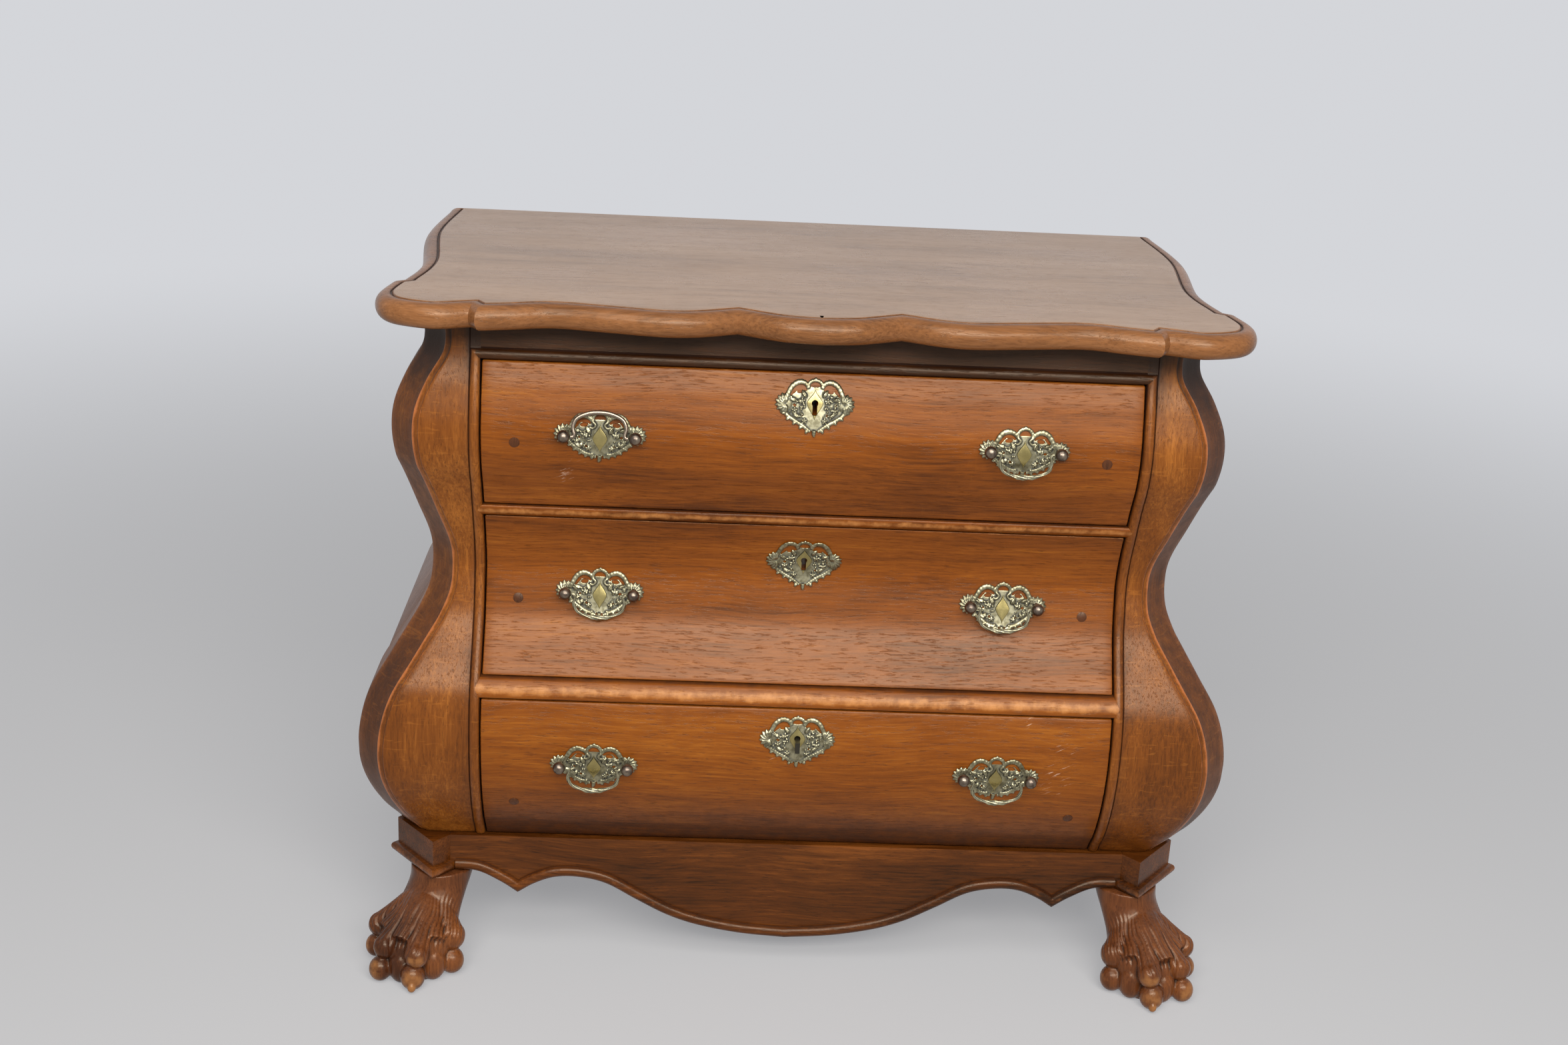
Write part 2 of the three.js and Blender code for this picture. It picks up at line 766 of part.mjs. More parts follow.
function drawerParts(drawer) {
  const name = "drawer_" + drawer.name;
  const halfWidth = openingHalfWidth - drawerGap;
  const frontLine = drawer.levels.map((z) => [frontAt(z), z]);
  const low = drawer.low + drawerGap;
  const high = drawer.high - drawerGap;
  const frontOutline = [[drawer.inner, low], ...frontLine, [drawer.inner, high]];
  const front = solidOf(alongX(frontOutline, -halfWidth, halfWidth));
  const cut = keyholeCut(drawer, frontAt(drawer.key) - overrun, drawer.inner + overrun);
  place(name + "_front", front.subtract(cut), oak);

  const innerX = halfWidth - drawerSideThickness;
  const y0 = drawer.inner + seat;
  const base = drawer.low + seat;
  const top = drawer.high - sideBelowTop;
  const backFront = drawerBackY - drawerSideThickness;
  const side = box(innerX, halfWidth, y0, drawerBackY, base, top);
  place(name + "_side_right", side, innerOak);
  place(name + "_side_left", mirrored(side), innerOak);
  const backX = innerX - seat;
  place(name + "_back", box(-backX, backX, backFront, drawerBackY, base, top), innerOak);
  const floorZ = base + drawerBottomRise;
  const floorTop = floorZ + drawerBottomThickness;
  place(name + "_bottom", box(-backX, backX, y0, backFront - seat, floorZ, floorTop), innerOak);

  const lockFront = drawer.inner + seat;
  const lockLow = drawer.key - lockBelowKey;
  const lockHigh = drawer.key + lockAboveKey;
  const lockHalf = lockWidth / 2;
  const body = box(-lockHalf, lockHalf, lockFront, lockFront + lockThickness, lockLow, lockHigh);
  const slotX = boltWidth / 2 + seat;
  const slotFront = drawer.boltFront - seat;
  const slotLow = lockHigh - boltInsideCase - seat;
  const slotBack = lockFront + lockThickness + overrun;
  const slot = box(-slotX, slotX, slotFront, slotBack, slotLow, lockHigh + overrun);
  place("lock_case_" + drawer.name, solidOf(body).subtract(solidOf(slot)), lockIron);
  const boltTop = high - boltBelowEdge;
  const boltBack = drawer.boltFront + boltThickness;
  const boltLow = lockHigh - boltInsideCase;
  const bolt = box(-boltWidth / 2, boltWidth / 2, drawer.boltFront, boltBack, boltLow, boltTop);
  place("lock_bolt_" + drawer.name, bolt, lockIron);
}

drawers.forEach(drawerParts);

// Pierced brass plates, bent to the front that they lie on
const plateThickness = 2;

// The front of a drawer runs straight between its levels.
function faceAt(drawer, z) {
  const next = drawer.levels.findIndex((level, i) => i > 0 && level >= z);
  const [low, high] = [drawer.levels[next - 1], drawer.levels[next]];
  return THREE.MathUtils.mapLinear(z, low, high, frontAt(low), frontAt(high));
}

// Cuts a triangle along level lines, so that it can follow a curved front.
function banded(triangle, levels) {
  let pieces = [triangle];
  for (const level of levels) {
    pieces = pieces.flatMap((piece) => cutAtLevel(piece, level));
  }
  return pieces.flatMap((piece) => fan(piece));
}

function cutAtLevel(polygon, level) {
  const below = [];
  const above = [];
  polygon.forEach((p, i) => {
    const q = polygon[(i + 1) % polygon.length];
    if (p.y <= level) below.push(p);
    if (p.y >= level) above.push(p);
    if ((p.y - level) * (q.y - level) < 0) {
      const [a, b] = p.y < q.y ? [p, q] : [q, p];
      const cut = a.clone().lerp(b, (level - a.y) / (b.y - a.y));
      cut.y = level;
      below.push(cut);
      above.push(cut);
    }
  });
  return [below, above].filter((piece) => piece.length > 2);
}

function fan(polygon) {
  return polygon.slice(2).map((p, i) => [polygon[0], polygon[i + 1], p]);
}

// A flat outline with holes, given as Vector2 in plate space, turned into a bent plate.
function bentPlate(outline, holes, drawer, centreZ) {
  const all = [outline, ...holes].flat();
  const faces = THREE.ShapeUtils.triangulateShape(outline, holes);
  const levels = drawer.levels.map((z) => z - centreZ);
  const triangles = faces.flatMap((face) => banded(face.map((i) => all[i]), levels));
  const bend = (p, lift) => {
    const z = centreZ + p.y;
    return new THREE.Vector3(p.x, faceAt(drawer, z) - seat - lift, z);
  };
  const keyOf = (p) => p.x.toFixed(3) + " " + p.y.toFixed(3);
  const directed = new Map();
  const body = [];
  for (const triangle of triangles) {
    const keys = triangle.map(keyOf);
    if (new Set(keys).size < keys.length) continue;
    const [a, b, c] = triangle;
    body.push([a, b, c].map((p) => bend(p, plateThickness)), [a, c, b].map((p) => bend(p, 0)));
    keys.forEach((key, i) => {
      const j = (i + 1) % keys.length;
      directed.set(key + "|" + keys[j], [triangle[i], triangle[j]]);
    });
  }
  for (const [key, [p, q]] of directed) {
    if (directed.has(key.split("|").reverse().join("|"))) continue;
    const wall = [bend(p, plateThickness), bend(q, plateThickness), bend(q, 0), bend(p, 0)];
    body.push([wall[1], wall[0], wall[3]], [wall[1], wall[3], wall[2]]);
  }
  return solidOf(bodyOf(body));
}

function mirroredOutline(points, halfWidth, up, down) {
  const scaled = points.map(([x, y]) => [x * halfWidth, y > 0 ? y * up : y * down]);
  const other = scaled.slice(1, -1).map(([x, y]) => [-x, y]);
  return [...scaled, ...other.reverse()].map(([x, y]) => new THREE.Vector2(x, y));
}

function ovalHole({ at, size, lean }, halfWidth, up, down) {
  const turn = THREE.MathUtils.degToRad(lean);
  const height = at[1] > 0 ? up : down;
  return Array.from({ length: holeSides }, (_, i) => {
    const angle = (2 * Math.PI * i) / holeSides;
    const x = size[0] * halfWidth * Math.cos(angle);
    const y = size[1] * halfWidth * Math.sin(angle);
    const across = at[0] * halfWidth + x * Math.cos(turn) - y * Math.sin(turn);
    return new THREE.Vector2(across, at[1] * height + x * Math.sin(turn) + y * Math.cos(turn));
  });
}

function bothSides(hole) {
  return [hole, { at: [-hole.at[0], hole.at[1]], size: hole.size, lean: -hole.lean }];
}

// Handle plates: half outline and piercings, as shares of the half width and the heights
const plateHalfWidth = 51;
const plateUp = 31;
const plateDown = 29;
const handleInset = 130.4;
const handlePlace = openingHalfWidth - handleInset;
const plateShares = [
  [0, 1],
  [0.12, 0.87],
  [0.21, 0.61],
  [0.29, 0.76],
  [0.43, 0.79],
  [0.55, 0.63],
  [0.63, 0.42],
  [0.75, 0.6],
  [0.92, 0.45],
  [1, 0.16],
  [0.93, -0.1],
  [0.76, -0.21],
  [0.61, -0.22],
  [0.45, -0.47],
  [0.25, -0.65],
  [0.09, -0.78],
  [0, -1],
];
const plateHoleShares = [
  { at: [0.42, 0.42], size: [0.12, 0.08], lean: -10 },
  { at: [0.3, -0.36], size: [0.08, 0.05], lean: 35 },
];

// Escutcheons
const escutcheonHalfWidth = 42.5;
const escutcheonUp = 25;
const escutcheonDown = 37;
const escutcheonShares = [
  [0, 1],
  [0.14, 0.86],
  [0.24, 0.98],
  [0.44, 0.8],
  [0.6, 0.46],
  [0.86, 0.5],
  [1, 0.02],
  [0.84, -0.22],
  [0.64, -0.2],
  [0.46, -0.54],
  [0.18, -0.74],
  [0, -1],
];
const escutcheonHoleShares = [
  { at: [0.34, 0.46], size: [0.09, 0.05], lean: -40 },
  { at: [0.62, 0.14], size: [0.07, 0.05], lean: 20 },
  { at: [0.36, -0.32], size: [0.08, 0.045], lean: 40 },
];

function piercings(holes, halfWidth, up, down) {
  return holes.flatMap(bothSides).map((hole) => ovalHole(hole, halfWidth, up, down));
}

// Bail handles: posts with balls, and a bail that turns between the balls
const postSpacing = 77;
const postRise = 5;
const axisReach = 16;
const stemRadius = 3.4;
const ballRadius = 6;
const bailPlay = 2.3;
const bailRadius = 2.2;
const bailSections = 18;
const bailSides = 4;

// Half of the bail: shares of the space between the balls, then of the drop.
const bailDrop = 27;
const bailShares = [
  [1, 0],
  [0.93, 0.1],
  [0.98, 0.4],
  [0.84, 0.74],
  [0.42, 0.95],
  [0, 1],
];
const hangingLean = { top: 0, middle: 6, bottom: 0 };
const raisedAngle = 196;

function handlePlate(drawer, centreX) {
  const outline = mirroredOutline(plateShares, plateHalfWidth, plateUp, plateDown);
  const holes = piercings(plateHoleShares, plateHalfWidth, plateUp, plateDown);
  let plate = bentPlate(outline, holes, drawer, drawer.handle);
  const axisZ = drawer.handle + postRise;
  const surface = frontAt(axisZ) - seat;
  const axisY = frontAt(axisZ) - axisReach;
  for (const side of [-1, 1]) {
    const stemLength = surface - plateThickness / 2 - axisY;
    const stem = new THREE.CylinderGeometry(stemRadius, stemRadius, stemLength, stemSides);
    const postAt = (side * postSpacing) / 2;
    stem.translate(postAt, axisY + stemLength / 2, axisZ);
    const ball = new THREE.SphereGeometry(ballRadius, ballSides, ballBands);
    ball.rotateZ(Math.PI / 2).translate(postAt, axisY, axisZ);
    plate = plate.add(solidOf(stem)).add(solidOf(ball));
  }
  return plate.translate([centreX, 0, 0]);
}

function bail(drawer, centreX, angle) {
  const reach = postSpacing / 2 - ballRadius - bailPlay;
  const half = bailShares.map(([across, down]) => {
    return new THREE.Vector3(across * reach, 0, -down * bailDrop);
  });
  const other = half.slice(0, -1).map((p) => new THREE.Vector3(-p.x, 0, p.z));
  const path = new THREE.CatmullRomCurve3([...half, ...other.reverse()]);
  const round = new THREE.Shape().absarc(0, 0, bailRadius, 0, 2 * Math.PI);
  const options = {
    steps: bailSections,
    extrudePath: path,
    curveSegments: bailSides,
    bevelEnabled: false,
  };
  const geometry = new THREE.ExtrudeGeometry(round, options);
  geometry.rotateX(THREE.MathUtils.degToRad(-angle));
  const axisZ = drawer.handle + postRise;
  geometry.translate(centreX, frontAt(axisZ) - axisReach, axisZ);
  return geometry;
}

for (const drawer of drawers) {
  const outline = mirroredOutline(escutcheonShares, escutcheonHalfWidth, escutcheonUp, escutcheonDown);
  const holes = piercings(escutcheonHoleShares, escutcheonHalfWidth, escutcheonUp, escutcheonDown);
  const plate = bentPlate(outline, holes, drawer, drawer.key);
  const near = frontAt(drawer.key) - plateThickness - overrun;
  const cut = keyholeCut(drawer, near, drawer.inner);
  place("escutcheon_" + drawer.name, plate.subtract(cut), oldBrass);
  for (const [sideName, side] of [["left", -1], ["right", 1]]) {
    const raised = drawer.name === "top" && sideName === "left";
    const angle = raised ? raisedAngle : hangingLean[drawer.name];
    const label = drawer.name + "_" + sideName;
    place("handle_plate_" + label, handlePlate(drawer, side * handlePlace), oldBrass);
    place("bail_" + label, bail(drawer, side * handlePlace, angle), raised ? bronze : oldBrass);
  }
}

export default chest;
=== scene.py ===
import math
import random
import bpy
import numpy as np
from mathutils import Matrix, Vector, noise


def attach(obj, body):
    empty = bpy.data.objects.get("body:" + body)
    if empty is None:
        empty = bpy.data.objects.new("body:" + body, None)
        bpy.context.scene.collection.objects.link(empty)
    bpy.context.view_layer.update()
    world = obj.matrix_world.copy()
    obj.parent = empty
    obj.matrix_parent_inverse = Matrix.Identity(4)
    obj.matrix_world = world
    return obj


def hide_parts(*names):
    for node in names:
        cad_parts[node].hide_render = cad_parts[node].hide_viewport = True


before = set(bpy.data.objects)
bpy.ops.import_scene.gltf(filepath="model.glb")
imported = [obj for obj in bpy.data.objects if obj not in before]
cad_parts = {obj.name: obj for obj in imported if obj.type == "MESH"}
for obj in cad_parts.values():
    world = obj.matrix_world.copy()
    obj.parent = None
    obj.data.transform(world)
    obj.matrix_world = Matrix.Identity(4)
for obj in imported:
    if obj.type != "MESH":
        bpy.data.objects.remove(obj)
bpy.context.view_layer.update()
print("chest: frame loaded")

mm = 0.001
deg = math.pi / 180
weldGap = 2e-6  # metres

# Heights and plan of the case in millimetres, as the frame has them
case = {
    "seat": 0.3, "ankleTop": 113, "mouldingTop": 126, "plinthTop": 159,
    "lowerRail": (360, 382), "upperRail": (566, 580), "openingTop": 750, "caseTop": 795,
    "topThick": 27.7, "halfDepth": 270.5, "openingHalf": 361, "beadWidth": 11, "beadProud": 4.5,
    "arrisWaist": 391.5, "bulge": 78.5, "waistFront": 157, "belly": 67, "cant": 33.5,
    "halfWidth": 503.3, "postBack": 110, "caseBack": 258.5, "sideBack": 3, "sideThick": 18,
}
frontTable = [
    (0, 0.06), (0.017, 0.17), (0.057, 0.48), (0.11, 0.75), (0.167, 0.93), (0.239, 1), (0.313, 0.9),
    (0.358, 0.7), (0.401, 0.45), (0.445, 0.22), (0.489, 0.09), (0.539, 0), (0.583, 0.08),
    (0.637, 0.28), (0.693, 0.5), (0.752, 0.78), (0.81, 0.86), (0.879, 0.73), (0.936, 0.57), (1, 0.51),
]
arrisTable = [
    (0, 0.49), (0.039, 0.66), (0.116, 0.91), (0.181, 1), (0.248, 0.96), (0.311, 0.81), (0.369, 0.53),
    (0.417, 0.29), (0.442, 0.17), (0.486, 0.03), (0.533, 0), (0.575, 0.03), (0.637, 0.17),
    (0.72, 0.36), (0.741, 0.41), (0.796, 0.45), (0.843, 0.41), (0.892, 0.25), (0.942, 0.03), (1, 0.03),
]


def smoothLine(table, t):
    last = len(table) - 1
    i = 0
    while i < last - 1 and t > table[i + 1][0]:
        i += 1

    def slope(k):
        a, b = table[max(k - 1, 0)], table[min(k + 1, last)]
        return (b[1] - a[1]) / (b[0] - a[0])

    (t0, v0), (t1, v1) = table[i], table[i + 1]
    span = t1 - t0
    u = min(max((t - t0) / span, 0), 1)
    rise = u * u * (3 - 2 * u)
    return v0 + (v1 - v0) * rise + u * (1 - u) ** 2 * span * slope(i) - u * u * (1 - u) * span * slope(i + 1)


def share(z):
    return (z - case["plinthTop"]) / (case["caseTop"] - case["plinthTop"])


def frontAt(z):
    return -case["waistFront"] - case["belly"] * smoothLine(frontTable, share(z))


def arrisAt(z):
    return case["arrisWaist"] + case["bulge"] * smoothLine(arrisTable, share(z))


def between(low, high, count):
    return [low + (high - low) * i / count for i in range(count + 1)]


def halfRound(a):
    return max(1 - (2 * min(max(a, 0), 1) - 1) ** 2, 0) ** 0.5


def clearSelection():
    if bpy.context.object and bpy.context.object.mode != "OBJECT":
        bpy.ops.object.mode_set(mode="OBJECT")
    bpy.ops.object.select_all(action="DESELECT")


def makeActive(obj):
    clearSelection()
    obj.select_set(True)
    bpy.context.view_layer.objects.active = obj


def applyAll(obj):
    makeActive(obj)
    for modifier in list(obj.modifiers):
        bpy.ops.object.modifier_apply(modifier=modifier.name)


def addModifier(obj, kind, **values):
    modifier = obj.modifiers.new(kind.lower(), kind)
    for key, value in values.items():
        setattr(modifier, key, value)
    return modifier


def smoothShade(obj, angle=32):
    makeActive(obj)
    bpy.ops.object.shade_smooth_by_angle(angle=angle * deg)


def setMark(obj, name, values):
    mark = obj.data.attributes.get(name) or obj.data.attributes.new(name, "FLOAT", "POINT")
    mark.data.foreach_set("value", np.asarray(values, dtype=np.float32))


def arrayOf(items, field, width=3, kind=float):
    values = np.empty(len(items) * width, dtype=kind)
    items.foreach_get(field, values)
    return values.reshape(-1, width)


def applyPlace():
    bpy.ops.object.transform_apply(location=True, rotation=True, scale=True)


# Each step works in edit mode on the whole mesh
def editAll(obj, *steps):
    makeActive(obj)
    bpy.ops.object.mode_set(mode="EDIT")
    for step in steps:
        bpy.ops.mesh.select_all(action="SELECT")
        step()
    bpy.ops.object.mode_set(mode="OBJECT")


def weld():
    bpy.ops.mesh.remove_doubles(threshold=weldGap)


def closeEnds():
    bpy.ops.mesh.fill_holes(sides=0)


def turnOutwards():
    bpy.ops.mesh.normals_make_consistent(inside=False)


# A closed skin over rings of points in millimetres, started from a grid.
# worn and grimy hold a value for each point of a ring, or such a row for each ring; grimy marks dirt and
# painted shade.
def loftOf(name, rings, worn=None, grimy=None, angle=32):
    rows, count = len(rings), len(rings[0])
    clearSelection()
    bpy.ops.mesh.primitive_grid_add(x_subdivisions=count, y_subdivisions=rows - 1, size=1)
    obj = bpy.context.active_object
    obj.name = obj.data.name = name
    mesh = obj.data
    flat = arrayOf(mesh.vertices, "co")
    column = np.rint((flat[:, 0] + 0.5) * count).astype(int) % count
    row = np.rint((flat[:, 1] + 0.5) * (rows - 1)).astype(int)
    table = np.array([[tuple(p) for p in ring] for ring in rings]) * mm
    mesh.vertices.foreach_set("co", table[row, column].ravel())
    for mark, values in (("worn", worn), ("grimy", grimy)):
        if values is not None:
            values = np.asarray(values, dtype=float)
            setMark(obj, mark, values[column] if values.ndim == 1 else values[row, column])
    mesh.update()
    editAll(obj, weld, closeEnds, turnOutwards)
    smoothShade(obj, angle)
    return obj


def joined(name, parts):
    clearSelection()
    for part in parts:
        part.select_set(True)
    bpy.context.view_layer.objects.active = parts[0]
    bpy.ops.object.join()
    obj = bpy.context.active_object
    obj.name = obj.data.name = name
    return obj


def copyOf(obj, name):
    copy = obj.copy()
    copy.data = obj.data.copy()
    copy.name = copy.data.name = name
    bpy.context.scene.collection.objects.link(copy)
    return copy


def movePoints(obj, change):
    mesh = obj.data
    points = change(arrayOf(mesh.vertices, "co"))
    mesh.vertices.foreach_set("co", points.ravel())
    mesh.update()


def mirroredCopy(obj, name):
    copy = copyOf(obj, name)
    movePoints(copy, lambda points: points * (-1, 1, 1))
    editAll(copy, turnOutwards)
    return copy


def boxAt(low, high):
    clearSelection()
    bpy.ops.mesh.primitive_cube_add(size=1, location=[(a + b) / 2 * mm for a, b in zip(low, high)])
    box = bpy.context.active_object
    box.scale = [(b - a) * mm for a, b in zip(low, high)]
    applyPlace()
    return box


def cutWith(obj, cutters):
    for cutter in cutters:
        addModifier(obj, "BOOLEAN", operation="DIFFERENCE", object=cutter, solver="EXACT")
    applyAll(obj)
    for cutter in cutters:
        bpy.data.objects.remove(cutter)


# Hollows and high places of a fine mesh, kept as the marks grimy and worn: hollows are darkened as dirt and
# painted shade, high places lightened as wear.
def markRelief(obj, rounds, reach):
    mesh = obj.data
    count = len(mesh.vertices)
    points, normals = arrayOf(mesh.vertices, "co"), arrayOf(mesh.vertex_normals, "vector")
    a, b = arrayOf(mesh.edges, "vertices", 2, np.int32).T
    degree = np.maximum(np.bincount(a, minlength=count) + np.bincount(b, minlength=count), 1)

    def spread(values):
        return (np.bincount(a, values[b], count) + np.bincount(b, values[a], count)) / degree

    soft = points.copy()
    for _ in range(rounds):
        for axis in range(3):
            soft[:, axis] = spread(soft[:, axis])
    hollow = ((soft - points) * normals).sum(axis=1) / (reach * mm)
    setMark(obj, "grimy", spread(np.clip(hollow, 0, 1)))
    setMark(obj, "worn", spread(np.clip(-hollow, 0, 1)))


# Tube along a path, with a radius for each point; ribs twist round it.
def tubeRings(path, radii, sides=10, flat=1.0, ribs=0, depth=0.0, twist=0.0):
    rings = []
    up = Vector((0, 1, 0.01))
    for i, p in enumerate(path):
        ahead = (path[min(i + 1, len(path) - 1)] - path[max(i - 1, 0)]).normalized()
        side = ahead.cross(up).normalized()
        up = side.cross(ahead).normalized()
        ring = []
        for k in range(sides):
            angle = 2 * math.pi * k / sides
            r = radii[i] * (1 + depth * math.cos(ribs * angle + twist * i))
            ring.append(p + side * (r * math.cos(angle)) + up * (r * flat * math.sin(angle)))
        rings.append(ring)
    return rings


def curveThrough(points, count):
    points = [Vector(p) for p in points]
    last = len(points) - 1
    out = []
    for step in range(count + 1):
        t = last * step / count
        i = min(int(t), last - 1)
        u = t - i
        p0, p1, p2, p3 = points[max(i - 1, 0)], points[i], points[i + 1], points[min(i + 2, last)]
        out.append(0.5 * (2 * p1 + (p2 - p0) * u + (2 * p0 - 5 * p1 + 4 * p2 - p3) * u * u
                          + (3 * p1 - p0 - 3 * p2 + p3) * u ** 3))
    return out


# Shader helpers
def setInputs(tree, node, inputs):
    for key, value in inputs.items():
        if isinstance(value, bpy.types.NodeSocket):
            tree.links.new(value, node.inputs[key])
        else:
            node.inputs[key].default_value = value


def addNode(tree, kind, inputs=None, **settings):
    node = tree.nodes.new("ShaderNode" + kind)
    for key, value in settings.items():
        setattr(node, key, value)
    setInputs(tree, node, inputs or {})
    return node


def mathNode(tree, operation, *values):
    return addNode(tree, "Math", dict(enumerate(values)), operation=operation).outputs[0]


def vectorNode(tree, operation, *values):
    return addNode(tree, "VectorMath", dict(enumerate(values)), operation=operation).outputs


def mixColors(tree, factor, a, b):
    return addNode(tree, "Mix", {0: factor, 6: a, 7: b}, data_type="RGBA").outputs[2]


def rangeOf(tree, value, low, high, start=0.0, end=1.0):
    inputs = {"Value": value, "From Min": low, "From Max": high, "To Min": start, "To Max": end}
    return addNode(tree, "MapRange", inputs, interpolation_type="SMOOTHSTEP").outputs["Result"]


def noiseOf(tree, vector, scale, stretch=(1, 1, 1), detail=4.0, rough=0.55, bend=0.0):
    placed = addNode(tree, "Mapping", {"Vector": vector, "Scale": stretch}).outputs[0]
    inputs = {"Vector": placed, "Scale": scale, "Detail": detail, "Roughness": rough, "Distortion": bend}
    return addNode(tree, "TexNoise", inputs).outputs["Fac"]


def objectPlace(tree):
    return addNode(tree, "TexCoord").outputs["Object"]


def newGroup(name, inputs, outputs):
    tree = bpy.data.node_groups.new(name, "ShaderNodeTree")
    for way, sockets in (("INPUT", inputs), ("OUTPUT", outputs)):
        for title, kind in sockets.items():
            tree.interface.new_socket(name=title, in_out=way, socket_type="NodeSocket" + kind)
    return tree, tree.nodes.new("NodeGroupInput").outputs, tree.nodes.new("NodeGroupOutput")


def useGroup(tree, group, inputs):
    return addNode(tree, "Group", inputs, node_tree=group).outputs


# Oak with the grain along X of the vector: streaks, pores, blotches and ray flecks.
# Each noise has its scale along and across the grain, and each range its low and high end.
grainLook = {
    "wander": 3.2, "sway": (0.0, 0.035, 0.035), "streaks": (3.5, 55, 55), "lines": (16, 380, 380),
    "blotch": (4, 8, 8), "bands": (0.9, 11, 11), "pores": (48, 560, 560), "poreRange": (0.56, 0.68),
    "flecks": (230, 38, 38), "fleckRange": (0.6, 0.7), "fleckBend": 1.2, "bandShare": 0.8,
    "patchMiddle": 0.9, "streakShare": 0.42, "midRange": (0.24, 0.54), "lightRange": (0.48, 0.82),
    "poreDark": 0.55, "poreDepth": 0.7, "lineHeight": 0.5, "streakShine": 0.5,
}


def makeOakGrain():
    tree, source, out = newGroup(
        "oakGrain",
        {"Vector": "Vector", "Dark": "Color", "Mid": "Color", "Light": "Color", "Flecks": "Float",
         "Blotches": "Float"},
        {"Color": "Color", "Shine": "Float", "Height": "Float"},
    )
    look, vector = grainLook, source["Vector"]
    wander = addNode(tree, "TexNoise", {"Vector": vector, "Scale": look["wander"], "Detail": 2.0})
    shift = vectorNode(tree, "SUBTRACT", wander.outputs["Color"], (0.5, 0.5, 0.5))[0]
    bent = vectorNode(tree, "ADD", vector, vectorNode(tree, "MULTIPLY", shift, look["sway"])[0])[0]
    streaks = noiseOf(tree, bent, 1.0, look["streaks"], 4.0, 0.6)
    lines = noiseOf(tree, bent, 1.0, look["lines"], 4.0, 0.7)
    blotch = noiseOf(tree, vector, 1.0, look["blotch"], 3.0, 0.5)
    pores = rangeOf(tree, noiseOf(tree, bent, 1.0, look["pores"], 3.0, 0.65), *look["poreRange"])
    flecks = noiseOf(tree, vector, 1.0, look["flecks"], 2.0, 0.5, look["fleckBend"])
    flecks = mathNode(tree, "MULTIPLY", rangeOf(tree, flecks, *look["fleckRange"]), source["Flecks"])
    bands = noiseOf(tree, vector, 1.0, look["bands"], 2.0, 0.4)
    patch = mathNode(tree, "SUBTRACT", blotch, look["patchMiddle"])
    patch = mathNode(tree, "MULTIPLY_ADD", bands, look["bandShare"], patch)
    patch = mathNode(tree, "MULTIPLY", patch, source["Blotches"])
    tone = mathNode(tree, "MULTIPLY", lines, 1 - look["streakShare"])
    tone = mathNode(tree, "ADD", mathNode(tree, "MULTIPLY_ADD", streaks, look["streakShare"], tone), patch)
    base = mixColors(tree, rangeOf(tree, tone, *look["midRange"]), source["Dark"], source["Mid"])
    base = mixColors(tree, rangeOf(tree, tone, *look["lightRange"]), base, source["Light"])
    base = mixColors(tree, flecks, base, source["Light"])
    base = mixColors(tree, mathNode(tree, "MULTIPLY", pores, look["poreDark"]), base, source["Dark"])
    shine = mathNode(tree, "ADD", mathNode(tree, "MULTIPLY", streaks, look["streakShine"]), flecks)
    low = mathNode(tree, "MULTIPLY", pores, -look["poreDepth"])
    height = mathNode(tree, "MULTIPLY_ADD", lines, look["lineHeight"], low)
    setInputs(tree, out, {"Color": base, "Shine": shine, "Height": height})
    return tree


# Wear on the high places, and dirt and painted shade where grimy is marked, broken up by noise
def makeAging():
    tree, source, out = newGroup(
        "aging",
        {"Vector": "Vector", "Color": "Color", "Worn": "Float", "Grimy": "Float", "Worn Color": "Color",
         "Grime And Shade Color": "Color", "Scale": "Float"},
        {"Color": "Color", "Worn": "Float", "Grimy": "Float"},
    )
    inputs = {"Vector": source["Vector"], "Scale": source["Scale"], "Detail": 5.0, "Roughness": 0.6}
    broken = addNode(tree, "TexNoise", inputs).outputs["Fac"]
    ragged = mathNode(tree, "MULTIPLY", mathNode(tree, "SUBTRACT", broken, 0.5), 0.9)
    worn = rangeOf(tree, mathNode(tree, "ADD", source["Worn"], ragged), 0.35, 0.85)
    worn = mathNode(tree, "MULTIPLY", worn, rangeOf(tree, source["Worn"], 0.0, 0.25))
    grimy = rangeOf(tree, mathNode(tree, "MULTIPLY_ADD", ragged, -0.5, source["Grimy"]), 0.12, 0.9)
    grimy = mathNode(tree, "MULTIPLY", grimy, rangeOf(tree, source["Grimy"], 0.0, 0.15))
    color = mixColors(tree, worn, source["Color"], source["Worn Color"])
    color = mixColors(tree, grimy, color, source["Grime And Shade Color"])
    setInputs(tree, out, {"Color": color, "Worn": worn, "Grimy": grimy})
    return tree


oakGrain = makeOakGrain()
aging = makeAging()


def startMaterial(name):
    material = bpy.data.materials.new(name)
    material.use_nodes = True
    tree = material.node_tree
    return material, tree, tree.nodes["Principled BSDF"]


def markValue(tree, name):
    return addNode(tree, "Attribute", attribute_name=name).outputs["Fac"]


